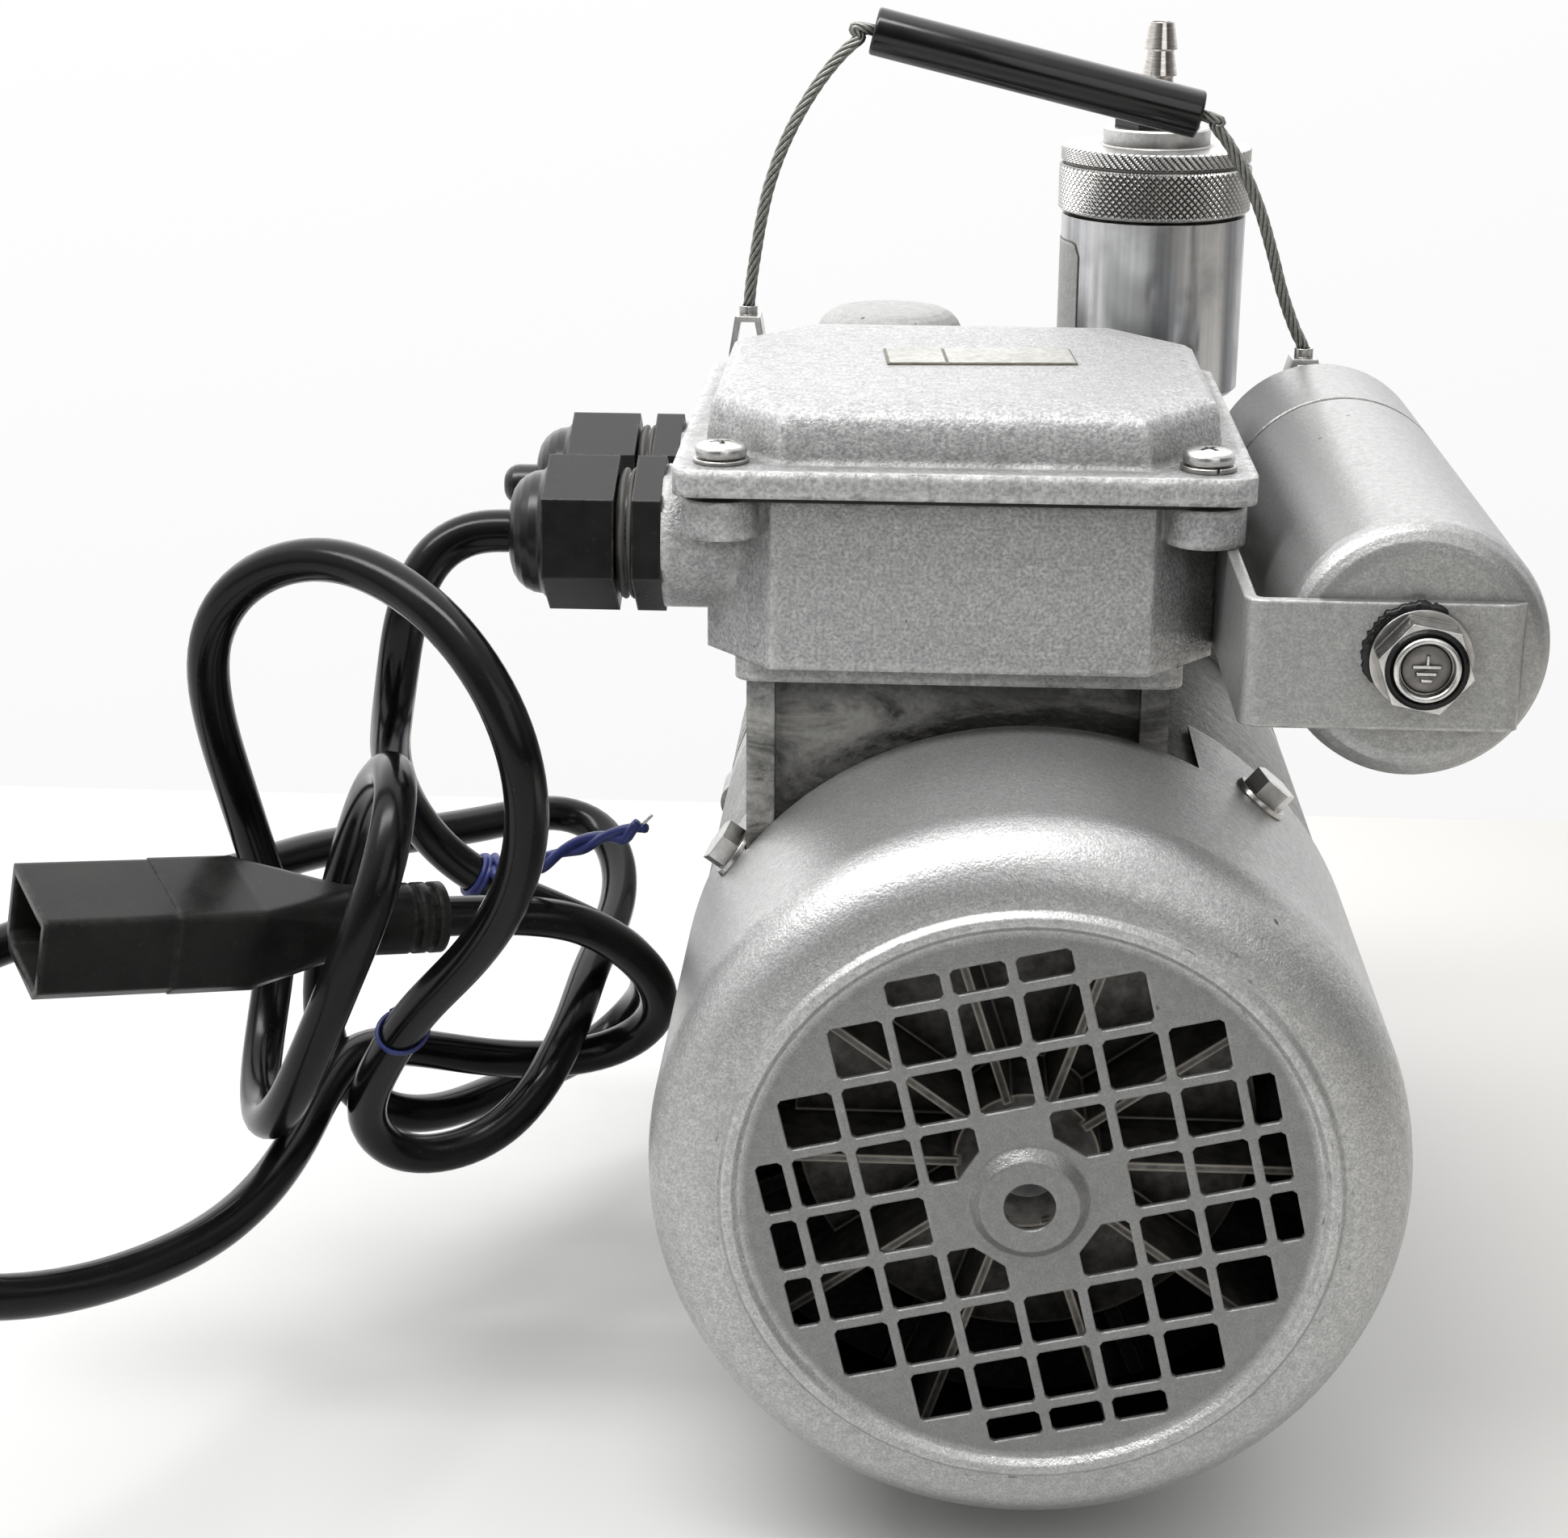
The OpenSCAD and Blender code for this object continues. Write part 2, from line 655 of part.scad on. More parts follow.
module capacitor_cap() {
  color([0.7, 0.7, 0.69]) placed() along_y(can_y1, capacitor_x, capacitor_z)
    rotate_extrude($fn = 48)
      polygon(concat([[0, 0], [can_r, 0]], arc(can_r - 3, can_cap_length - 3, 3, 0, 90, 3),
        [[0, can_cap_length]]));
}

// A strip bent once: a leg along the box and a plate across the capacitor
module capacitor_bracket() {
  plate_x1 = capacitor_x + can_r * 0.78;
  bend_r = 3.5;
  color([0.7, 0.7, 0.69]) placed() difference() {
    translate([0, 0, strip_z - strip_width / 2]) linear_extrude(strip_width) difference() {
      offset(r = bend_r, $fn = 24) offset(delta = -bend_r)
        translate([strip_x, strip_y0]) square([plate_x1 - strip_x, strip_reach]);
      offset(r = bend_r - strip_t, $fn = 24) offset(delta = -(bend_r - strip_t))
        translate([strip_x, strip_y0] + [strip_t, strip_t]) square([plate_x1, strip_reach + 20]);
      translate([plate_x1 - bend_r, strip_y0 + strip_t]) square([20, strip_reach + 20]);
    }
    rod_y(stud_d / 2 + 0.3, strip_y0 - 1, strip_y0 + strip_t + 1, capacitor_x, capacitor_z);
    for (y = strip_screw_ys) along_left(strip_x + strip_t + 1, box_y - 17 + y, strip_z)
      cylinder(d = 4.4, h = strip_t + 2, $fn = 16);
  }
}

module capacitor_bolt() {
  head_t = 5.5;
  washer_t = 1.4;
  color("silver") placed() {
    rod_y(8.6, strip_y0 - washer_t, strip_y0, capacitor_x, capacitor_z, 24);
    along_y(strip_y0 - washer_t - head_t, capacitor_x, capacitor_z) rotate(11) difference() {
      cylinder(d = 16.2, h = head_t, $fn = 6);
      translate([0, 0, -1]) cylinder(d = 9, h = 1.8, $fn = 24);
    }
    rod_y(stud_d / 2, strip_y0, can_y0 + 11, capacitor_x, capacitor_z, 24);
  }
}

module bracket_screws() {
  color("silver") placed() for (y = strip_screw_ys) {
    along_left(strip_x + strip_t + 2.2, box_y - 17 + y, strip_z)
      cylinder(d = 7.4, h = 2.2, $fn = 24);
    along_left(strip_x + strip_t, box_y - 17 + y, strip_z) cylinder(d = 4, h = strip_t + 0.1, $fn = 16);
  }
}

/* Pump head */

ear_half = 62.5;
ear_z0 = 78;
ear_z1 = 98;
head_half = 54;
head_r = frame_r;
bolt_circle_r = 55;
lug_angles = [77.5, 167.5, 257.5, 347.5];
rotor_e = (chamber_d - rotor_d) / 2 - 0.05;   // the rotor almost touches the bore at the top
chamber_z = -rotor_e;
vane_slot_gap = 0.05;
vane_angles = [45, 135, 225, 315];
pin_d = 3;
pin_x = 59.5;         // middle of each ear lug
pin_y = frame_y1 + flange_t / 2;
pin_z = 104;
lug_t = 5;

// Round body with a square turret that carries the deck
module head_outline(top) {
  circle(r = head_r, $fn = round_fn);
  translate([-head_half, 0]) square([2 * head_half, top]);
}

module drive_end_flange() {
  color([0.66, 0.66, 0.65]) placed() difference() {
    union() {
      plate_y(frame_y1, flange_t) {
        head_outline(ear_z1);
        hull() {
          translate([-ear_half, ear_z0 + 4]) square([2 * ear_half, ear_z1 - ear_z0 - 4]);
          translate([-head_half, ear_z0 - 6]) square([2 * head_half, 12]);
        }
        for (a = lug_angles) rotate(a) translate([head_r - 4, 0]) circle(r = 5, $fn = 20);
      }
      for (side = [-1, 1]) translate([side * pin_x - lug_t / 2, 0, 0]) {
        translate([0, pin_y - flange_t / 2, ear_z1 - 2]) cube([lug_t, flange_t, pin_z - ear_z1 + 2]);
        along_left(lug_t, pin_y, pin_z) cylinder(d = flange_t, h = lug_t);
      }
    }
    rod_y(front_bearing_od / 2 + fit, frame_y1 - 1, frame_y1 + front_bearing_w + 0.2, fn = 48);
    rod_y(front_seat_d / 2 + 1, frame_y1, flange_y1 + 1);
    for (side = [-1, 1]) along_left(side * pin_x + lug_t, pin_y, pin_z)
      cylinder(d = pin_d + 2 * fit, h = 2 * lug_t, $fn = 24);
    // lightened between the turret walls
    translate([-head_half + 8, frame_y1 - 1, head_r + 6]) cube([2 * head_half - 16, flange_t - 5, 16]);
  }
}

module pump_side_plate() {
  color([0.5, 0.5, 0.5]) placed() difference() {
    plate_y(flange_y1, side_plate_t) circle(r = head_r - 3, $fn = round_fn);
    rod_y(front_seat_d / 2 + fit, flange_y1 - 1, cylinder_y0 + 1);
  }
}

intake_port_d = 16;
port_way_d = 11;

module pump_cylinder() {
  fin_pitch = chamber_length / head_fins;
  color([0.66, 0.66, 0.65]) placed() difference() {
    union() {
      rod_y(head_r - 8, cylinder_y0, cylinder_y1, fn = round_fn);
      for (i = [0:head_fins - 1])
        rod_y(head_r, cylinder_y0 + i * fin_pitch, cylinder_y0 + (i + 0.5) * fin_pitch, fn = 48);
      translate([-head_half, cylinder_y0, 20]) cube([2 * head_half, chamber_length, deck_z - 20]);
      foot_bar(rear_feet_y);
    }
    rod_y(chamber_d / 2, cylinder_y0 - 1, cylinder_y1 + 1, 0, chamber_z, round_fn);
    // hollow of the turret, open at the back
    translate([-7, cylinder_y0 + 6, chamber_d / 2 + 6])
      cube([14, chamber_length - 5, deck_z - chamber_d / 2 - 12]);
    for (x = [-port_x, port_x]) {
      translate([x, head_y, 16]) cylinder(d = port_way_d, h = deck_z, $fn = 24);
      translate([x, head_y, deck_z - 12]) cylinder(d = intake_port_d + 2 * fit, h = 14);
    }
    foot_holes(rear_feet_y);
  }
}

module pump_rotor() {
  r_in = rotor_d / 2 - vane_depth - 1.5;
  color([0.42, 0.42, 0.44]) placed()
    plate_y(cylinder_y0 + 0.05, chamber_length - 0.1) difference() {
      circle(d = rotor_d, $fn = round_fn);
      circle(d = rotor_seat_d + 2 * fit);
      for (a = vane_angles) rotate(a) translate([r_in, -vane_t / 2 - vane_slot_gap])
        square([vane_depth + 4, vane_t + 2 * vane_slot_gap]);
    }
}

// A vane with a round tip, flush in its slot
module vane(angle) {
  tip_r = 5.9;
  color([0.2, 0.2, 0.22]) placed()
    plate_y(cylinder_y0 + 0.1, chamber_length - 0.2) rotate(angle)
      translate([rotor_d / 2 - vane_depth, 0]) intersection() {
        translate([0, -vane_t / 2]) square([vane_depth, vane_t]);
        union() {
          translate([0, -vane_t / 2]) square([vane_depth - 4, vane_t]);
          translate([vane_depth - tip_r - 0.1, 0]) circle(r = tip_r, $fn = 48);
        }
      }
}

module vane_1() vane(vane_angles[0]);
module vane_2() vane(vane_angles[1]);
module vane_3() vane(vane_angles[2]);
module vane_4() vane(vane_angles[3]);

cover_plate_t = 6;
cover_boss_r = 22;
cover_screw_angles = [30, 90, 150, 210, 270, 330];
cover_screw_d = 6;

module pump_cover() {
  color([0.68, 0.68, 0.67]) placed() difference() {
    union() {
      plate_y(cylinder_y1, cover_plate_t) head_outline(deck_z - 4);
      rod_y(cover_boss_r, cylinder_y1 + 1, cover_y1, fn = 48);
      for (a = cover_screw_angles) rotate([0, 30 - a, 0])
        translate([cover_boss_r - 2, cylinder_y1 + 1, -1.5])
          cube([head_r - cover_boss_r - 6, cover_t - 4, 3]);
      for (a = cover_screw_angles) rotate([0, -a, 0])
        rod_y(7, cylinder_y1 + 1, cylinder_y1 + cover_plate_t + 2, bolt_circle_r, fn = 20);
    }
    for (a = cover_screw_angles) rotate([0, -a, 0])
      rod_y(cover_screw_d / 2 + 0.3, cylinder_y1 - 1, cover_y1, bolt_circle_r, fn = 16);
  }
}

module cover_screws() {
  face_y = cylinder_y1 + cover_plate_t + 2;
  color("silver") placed() for (a = cover_screw_angles) rotate([0, -a, 0]) {
    along_y(face_y, bolt_circle_r) difference() {
      cylinder(d = 10, h = 6, $fn = 20);
      translate([0, 0, 3]) cylinder(d = 5.8, h = 4, $fn = 6);
    }
    rod_y(cover_screw_d / 2, cylinder_y1 + 0.2, face_y, bolt_circle_r, fn = 16);
  }
}

/* Intake filter */

cup_z0 = deck_z + 10;
cup_z1 = cup_z0 + filter_height;
ring_z1 = cup_z1 + ring_height;
filter_r = filter_d / 2;
cup_wall = 2.5;
ring_overlap = 6;     // length of cup that stands inside the ring
disc_h = 3.4;
hub_h = 4;
hub_r = 11.8;
knurl_count = 60;
hose_bore_d = 4.5;

module at_intake(z) translate([port_x, head_y, z]) children();

module intake_fitting() {
  color("gainsboro") placed() at_intake(deck_z - 11) difference() {
    union() {
      cylinder(d = intake_port_d, h = 12);
      translate([0, 0, 11]) cylinder(d = 27, h = cup_z0 - deck_z, $fn = 6);
      cylinder(d = 13, h = cup_z0 - deck_z + 11 + cup_wall);
    }
    translate([0, 0, -1]) cylinder(d = 8, h = 40, $fn = 24);
  }
}

module filter_cup() {
  color([0.78, 0.78, 0.79]) placed() at_intake(cup_z0) rotate_extrude($fn = 48) polygon([
    [6.5 + fit, 0], [filter_r - 1, 0], [filter_r, 1], [filter_r, filter_height - 1],
    [filter_r - 1.5, filter_height - 0.6], [filter_r - 1.5, filter_height + ring_overlap],
    [filter_r - 1.5 - cup_wall, filter_height + ring_overlap], [filter_r - 1.5 - cup_wall, cup_wall],
    [6.5 + fit, cup_wall]
  ]);
}

// One turned piece: the knurled ring, the cap disc above it and the hub
module filter_ring() {
  ring_r = filter_r + 0.9;
  color([0.8, 0.8, 0.81]) placed() at_intake(0) difference() {
    union() {
      translate([0, 0, cup_z1]) linear_extrude(ring_height) circle(r = ring_r, $fn = knurl_count);
      translate([0, 0, ring_z1 + 0.6]) cylinder(r = ring_r - 0.3, h = disc_h, $fn = knurl_count);
      translate([0, 0, ring_z1 - 1]) cylinder(r = ring_r - 1.2, h = disc_h + 1, $fn = 48);
      translate([0, 0, ring_z1 + disc_h]) cylinder(r = hub_r, h = hub_h + 0.6);
    }
    translate([0, 0, cup_z1 - 1]) cylinder(r = filter_r - 1.5 + fit, h = ring_height, $fn = 48);
    translate([0, 0, cup_z1]) cylinder(d = 8, h = 40, $fn = 24);
  }
}

module filter_element() {
  ribs = 18;
  r = filter_r - 1.5 - cup_wall - 2;
  color([0.92, 0.9, 0.84]) placed() at_intake(cup_z0 + cup_wall + seat)
    linear_extrude(filter_height - 2) difference() {
      polygon([for (i = [0:2 * ribs - 1]) (i % 2 == 0 ? r : r - 3) * [cos(i * 180 / ribs), sin(i * 180 / ribs)]]);
      circle(r = 7.5);
    }
}

hex_z0 = ring_z1 + disc_h + hub_h + 0.6;
hex_h = 4.6;
barb_h = 18;

module hose_barb() {
  color([0.75, 0.73, 0.7]) placed() at_intake(hex_z0) difference() {
    union() {
      cylinder(d = 18.6, h = hex_h, $fn = 6);
      translate([0, 0, hex_h - 0.2]) rotate_extrude($fn = 24) polygon([
        [0, 0], [4.2, 0], [4.2, 1], [3.1, 2.2], [3.1, 6.4], [3.8, 6.6], [2.9, 12], [3.7, 12.2],
        [2.7, barb_h], [0, barb_h]
      ]);
      translate([0, 0, -7]) cylinder(d = 8 - 2 * fit, h = 8, $fn = 24);
    }
    translate([0, 0, -8]) cylinder(d = hose_bore_d, h = 40, $fn = 20);
  }
}

/* Exhaust */

module exhaust_silencer() {
  r = silencer_d / 2;
  wall = 2.5;
  slots = 8;
  color([0.72, 0.72, 0.71]) placed() translate([-port_x - 1, head_y, deck_z]) difference() {
    union() {
      rotate_extrude($fn = 48) polygon(concat([[0, 0], [r, 0]],
        arc(r - 6, silencer_height - 6, 6, 0, 90, 5), [[0, silencer_height]]));
      translate([1, 0, -11]) cylinder(d = intake_port_d, h = 12);
    }
    translate([0, 0, 2]) cylinder(r = r - wall, h = silencer_height - 9, $fn = 48);
    translate([1, 0, -12]) cylinder(d = 9, h = 20, $fn = 24);
    for (i = [0:slots - 1]) rotate(i * 360 / slots)
      translate([0, -1.5, 4]) cube([r + 2, 3, 10]);
  }
}

/* Handle */

strap_t = 1.2;        // the bent strip that joins the rope to an ear lug
strap_w = 7;
strap_half = lug_t / 2 + seat + strap_t;
left_link_top = 122.9;
right_link_top = 115.5;
link_top_half = 2.7;
socket_h = 2;
grip_left = [-33.5, 182.4];
grip_right = [35, 165.9];
grip_tilt = atan2(grip_right[1] - grip_left[1], grip_right[0] - grip_left[0]);
grip_length = norm(grip_right - grip_left);
grip_dir = (grip_right - grip_left) / grip_length;

// Route of the wire rope across the pump, X and height above the shaft
rope_route = [
  [-pin_x, left_link_top + 0.3], [-59, 129], [-58, 136], [-56.8, 143], [-55.2, 150],
  [-52.6, 157.5], [-49, 165], [-44.6, 172], [-40.2, 177.4], [-36.4, 180.8],
  grip_left - grip_dir, grip_left + (grip_right - grip_left) / 2, grip_right + grip_dir,
  [38.2, 163.6], [41.6, 159.4], [45.4, 153], [48.6, 146], [51.4, 138],
  [54.2, 129], [57, 122], [59, right_link_top + 2.6], [pin_x, right_link_top + 0.3]
];

module handle_link(side, top) {
  shoulder_z = max(top - 8, pin_z + flange_t / 2 + 1);
  color("silver") placed() difference() {
    union() {
      plate_y(pin_y - strap_w / 2, strap_w) translate([side * pin_x, 0]) difference() {
        polygon([[-strap_half, pin_z - 3.5], [-strap_half, shoulder_z], [-link_top_half, top],
          [link_top_half, top], [strap_half, shoulder_z], [strap_half, pin_z - 3.5]]);
        polygon([[-strap_half + strap_t, pin_z - 4], [-strap_half + strap_t, shoulder_z - 0.2],
          [-link_top_half + strap_t, top - strap_t], [link_top_half - strap_t, top - strap_t],
          [strap_half - strap_t, shoulder_z - 0.2], [strap_half - strap_t, pin_z - 4]]);
      }
      translate([side * pin_x, pin_y, top - 0.1]) cylinder(d = rope_d + 1.4, h = socket_h, $fn = 24);
    }
    translate([side * pin_x, pin_y, top + 0.2]) cylinder(d = rope_d + 4 * fit, h = socket_h + 1, $fn = 24);
    along_left(side * pin_x + 2 * strap_half, pin_y, pin_z)
      cylinder(d = pin_d + 2 * fit, h = 4 * strap_half, $fn = 24);
  }
}

module handle_link_left() handle_link(-1, left_link_top);
module handle_link_right() handle_link(1, right_link_top);

module handle_pins() {
  color("silver") placed() for (side = [-1, 1]) {
    along_left(side * pin_x + strap_half + 0.8, pin_y, pin_z)
      cylinder(d = pin_d, h = 2 * strap_half + 1.6, $fn = 24);
    for (end = [-1, 1]) along_left(side * pin_x + end * (strap_half + 1.3) + 0.5, pin_y, pin_z)
      cylinder(d = pin_d + 2.4, h = 1, $fn = 24);
  }
}

function unit(v) = v / norm(v);
function tangent(path, i) =
  unit(path[min(i + 1, len(path) - 1)] - path[max(i - 1, 0)]);

// A round tube of given radius swept along a list of points, with the ring at
// each point turned as little as possible from the one before
function frames(path, i = 0, normals = []) =
  i >= len(path) ? normals :
  let (t = tangent(path, i),
       last = i == 0 ? (abs(t[2]) < 0.9 ? [0, 0, 1] : [1, 0, 0]) : normals[i - 1])
  frames(path, i + 1, concat(normals, [unit(last - (last * t) * t)]));

module tube(path, r, sides = 8) {
  normals = frames(path);
  points = [for (i = [0:len(path) - 1]) let (n = normals[i], b = cross(tangent(path, i), n))
    for (k = [0:sides - 1]) path[i] + r * (cos(k * 360 / sides) * n + sin(k * 360 / sides) * b)];
  last = (len(path) - 1) * sides;
  sides_faces = [for (i = [0:len(path) - 2], k = [0:sides - 1])
    let (a = i * sides + k, b = i * sides + (k + 1) % sides) [a, b, b + sides, a + sides]];
  triangles = [for (q = sides_faces, half = [0, 1])
    half == 0 ? [q[0], q[2], q[1]] : [q[0], q[3], q[2]]];
  polyhedron(points, concat([[for (k = [0:sides - 1]) k]],
    [[for (k = [sides - 1:-1:0]) last + k]], triangles), convexity = 10);
}

module handle_rope() {
  color([0.45, 0.45, 0.42]) placed() tube([for (q = rope_route) [q[0], pin_y, q[1]]], rope_d / 2);
}

module handle_grip() {
  middle = (grip_left + grip_right) / 2;
  color([0.06, 0.06, 0.06]) placed() translate([middle[0], pin_y, middle[1]])
    rotate([0, 90 - grip_tilt, 0]) difference() {
      cylinder(d = grip_d, h = grip_length, center = true);
      cylinder(d = rope_d + 2 * grip_play, h = grip_length + 2, center = true, $fn = 24);
    }
}

/* Feet */

module rubber_foot(sx, y) {
  color([0.12, 0.12, 0.12]) placed() translate([sx * foot_pitch_x / 2, y, -axis_height]) {
    difference() {
      cylinder(r1 = 8.4, r2 = 9.2, h = foot_h);
      translate([0, 0, -1]) cylinder(d = 8, h = 4.5, $fn = 20);
    }
    translate([0, 0, foot_h - 2]) cylinder(d = 6 - 2 * fit, h = 11, $fn = 16);
  }
}

module rubber_foot_1() rubber_foot(-1, front_feet_y);
module rubber_foot_2() rubber_foot(1, front_feet_y);
module rubber_foot_3() rubber_foot(-1, rear_feet_y);
module rubber_foot_4() rubber_foot(1, rear_feet_y);

/* Mains cord, from the front gland to the plug, in the ground's frame */

cord_route = [
  [-113, -79, 170], [-117, -82, 160], [-119, -81, 149], [-122, -73, 137], [-126, -58, 125],
  [-127, -45, 112], [-123, -37, 99], [-114, -36, 90], [-102, -34, 84], [-91, -33, 79],
  [-81, -26, 70], [-78, -10, 56], [-84, 6, 42], [-93, 2, 34], [-103, -14, 35],
  [-112, -30, 37], [-121, -46, 39], [-132, -58, 45],
  // one turn seen edge-on, which the plug's neck passes through
  [-142, -57, 57], [-144, -50, 72], [-140, -49, 88], [-135, -54, 103], [-129, -65, 118],
  [-121, -82, 130], [-116, -100, 132], [-117, -112, 119], [-124, -115, 102], [-131, -113, 86],
  [-138, -109, 70], [-146, -97, 60], [-151, -78, 61], [-151, -64, 73],
  // the tall loop
  [-149, -60, 88], [-152, -64, 104], [-154, -71, 121], [-156, -78, 138], [-155, -84, 155],
  [-146, -88, 168], [-131, -93, 174], [-117, -100, 172], [-105, -108, 166], [-95, -115, 155],
  [-90, -118, 142], [-90, -115, 127], [-95, -109, 112], [-104, -103, 98], [-115, -97, 86],
  // the lowest bend and the way back behind
  [-124, -91, 71], [-130, -83, 56], [-125, -74, 43], [-113, -67, 41], [-103, -61, 45],
  [-96, -54, 53], [-92, -41, 60], [-91, -24, 64], [-88, -6, 67], [-87, 12, 71],
  [-92, 28, 78], [-105, 30, 82], [-117, 16, 83], [-129, 3, 85], [-140, -11, 88],
  [-150, -26, 91], [-159, -41, 92],
  // the wide loop on the left
  [-170, -56, 94], [-183, -71, 94], [-197, -87, 93], [-209, -106, 93], [-215, -128, 93],
  [-215, -150, 91], [-209, -169, 85], [-197, -180, 75], [-181, -178, 66], [-167, -160, 58],
  [-156, -144, 55], [-148, -127, 53], [-143, -109, 53], [-140, -91, 55], [-138, -76, 60],
  [-134, -61, 62],
  // under the turn and back into the plug
  [-125, -48, 56], [-112, -40, 50], [-97, -34, 47], [-84, -29, 48], [-75, -31, 56],
  [-74, -38, 67], [-79, -45, 77], [-86.5, -54, 86.5], [-95, -61.8, 91.5], [-105.8, -68.8, 94.3]
];
cord_end = [-114.3, -73.8, 95.6];
plug_axis = [-8.5, -5, 1.35];
plug_roll = -9;
gland_exit = [gland_end_x, front_gland_y - feet_centre_y, axis_height + gland_z];
cord_inside = 16;     // length of cord inside the gland
cord_points = concat(
  [gland_exit + [cord_inside, 0, 0], gland_exit + [cord_inside / 2, 0, 0], gland_exit,
   gland_exit - [cord_d, 0, 0]], cord_route, [cord_end]);

// A smooth curve drawn by its control points, with n steps between two of them
function spline(p, n) = let (last = len(p) - 1)
  concat([for (i = [0:last - 1], k = [0:n - 1]) let (
      t = k / n,
      a = i > 0 ? p[i - 1] : 2 * p[0] - p[1],
      d = i < last - 1 ? p[i + 2] : 2 * p[last] - p[last - 1])
    (pow(1 - t, 3) * a + (3 * pow(t, 3) - 6 * t * t + 4) * p[i]
      + (-3 * pow(t, 3) + 3 * t * t + 3 * t + 1) * p[i + 1] + pow(t, 3) * d) / 6], [p[last]]);

// Least distance between points of a curve that lie more than skip steps apart
function least_gap(p, skip) = min([for (i = [0:len(p) - 1 - skip])
  min([for (j = [i + skip:len(p) - 1]) norm(p[i] - p[j])])]);

module mains_cord() {
  fine = spline(cord_points, 4);
  echo(least_gap_between_turns = least_gap(fine, 12) - cord_d);
  echo(cord_length = [for (i = [0:len(fine) - 2]) norm(fine[i + 1] - fine[i])]
    * [for (i = [0:len(fine) - 2]) 1]);
  color([0.07, 0.07, 0.07]) tube(spline(cord_points, 2), cord_d / 2);
}

// Shapes drawn along Z run from the end of the cord to the face of the plug
module along_plug(s = 0) {
  a = unit(plug_axis);
  t = unit(cross([0, 0, 1], a));
  u = cross(a, t);
  multmatrix([[t[0], u[0], a[0], cord_end[0]], [t[1], u[1], a[1], cord_end[1]],
    [t[2], u[2], a[2], cord_end[2]], [0, 0, 0, 1]])
    translate([0, 0, s]) rotate(plug_roll) children();
}

// Outline of the plug: two corners of one long side are cut off
module plug_outline(inset = 0) {
  w = plug_w / 2;
  h = plug_h / 2;
  bevel = 3;
  offset(r = 1.5 - inset, $fn = 16) offset(delta = -1.5)
    polygon([[-w, h], [w, h], [w, bevel - h], [w - bevel, -h], [bevel - w, -h], [-w, bevel - h]]);
}

relief_l = 9;
neck_l = 11;
taper_l = 20;
shroud_l = 25;
cavity_l = 19;
neck_r = 7;

module plug_body() {
  taper_s = relief_l + neck_l;
  color([0.09, 0.09, 0.09]) difference() {
    union() {
      along_plug() rotate_extrude($fn = 32) polygon([
        [0, 0], [neck_r, 0], [neck_r, 2], [neck_r - 1.2, 2], [neck_r - 1.2, 3.5], [neck_r, 3.5],
        [neck_r, 5.5], [neck_r - 1.2, 5.5], [neck_r - 1.2, 7], [neck_r, 7], [neck_r, taper_s],
        [0, taper_s]
      ]);
      along_plug(taper_s - eps) hull() {
        cylinder(r = neck_r, h = eps, $fn = 32);
        translate([0, 0, taper_l]) linear_extrude(eps) plug_outline(0.1);
      }
      along_plug(taper_s + taper_l - eps)
        linear_extrude(plug_length - taper_s - taper_l - shroud_l + eps) plug_outline();
      along_plug(plug_length - shroud_l - eps) linear_extrude(shroud_l + eps) plug_outline(0.3);
    }
    along_plug(plug_length - cavity_l) linear_extrude(cavity_l + 1) plug_outline(plug_wall + 0.3);
  }
}

// Two contacts side by side and the earth contact between them
module plug_pins() {
  color([0.75, 0.73, 0.68]) for (q = [[-7, 2], [7, 2], [0, -2]])
    along_plug(plug_length - cavity_l)
      translate([q[0] - 1, q[1] - 2, 0]) cube([2, 4, pin_length]);
}

fan_cowl();
cowl_screws();
cooling_fan();
rear_end_shield();
motor_frame();
stator_core();
stator_windings();
rotor_core();
shaft();
rear_bearing();
front_bearing();
drive_end_flange();
handle_pins();
handle_link_left();
handle_link_right();
terminal_box();
box_gasket();
terminal_lid();
lid_screws();
terminal_block();
front_gland_body();
front_gland_seal();
front_gland_nut();
rear_gland_body();
rear_gland_nut();
gland_plug();
capacitor_can();
capacitor_cap();
capacitor_bracket();
capacitor_bolt();
bracket_screws();
pump_side_plate();
pump_cylinder();
pump_rotor();
vane_1();
vane_2();
vane_3();
vane_4();
pump_cover();
cover_screws();
intake_fitting();
filter_cup();
filter_ring();
filter_element();
hose_barb();
exhaust_silencer();
handle_rope();
handle_grip();
rubber_foot_1();
rubber_foot_2();
rubber_foot_3();
rubber_foot_4();
mains_cord();
plug_body();
plug_pins();
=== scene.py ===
import bmesh
import bpy
import math
import random
from mathutils import Matrix, Vector


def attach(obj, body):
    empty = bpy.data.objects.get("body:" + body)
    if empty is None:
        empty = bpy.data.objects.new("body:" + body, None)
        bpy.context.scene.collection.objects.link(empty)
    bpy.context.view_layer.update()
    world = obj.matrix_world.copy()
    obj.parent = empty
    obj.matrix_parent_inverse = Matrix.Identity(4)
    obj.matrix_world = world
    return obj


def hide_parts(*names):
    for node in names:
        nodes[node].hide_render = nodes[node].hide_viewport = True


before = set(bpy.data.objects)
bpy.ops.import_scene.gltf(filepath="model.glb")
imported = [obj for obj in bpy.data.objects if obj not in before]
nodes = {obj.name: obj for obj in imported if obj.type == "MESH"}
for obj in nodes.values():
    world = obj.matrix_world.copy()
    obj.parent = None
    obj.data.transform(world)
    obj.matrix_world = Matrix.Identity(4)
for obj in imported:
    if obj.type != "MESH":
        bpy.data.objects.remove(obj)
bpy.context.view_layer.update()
scene = bpy.context.scene
MM = 0.001
AXIS_Z = 0.076           # height of the shaft above the ground

# Camera, solved from the photograph

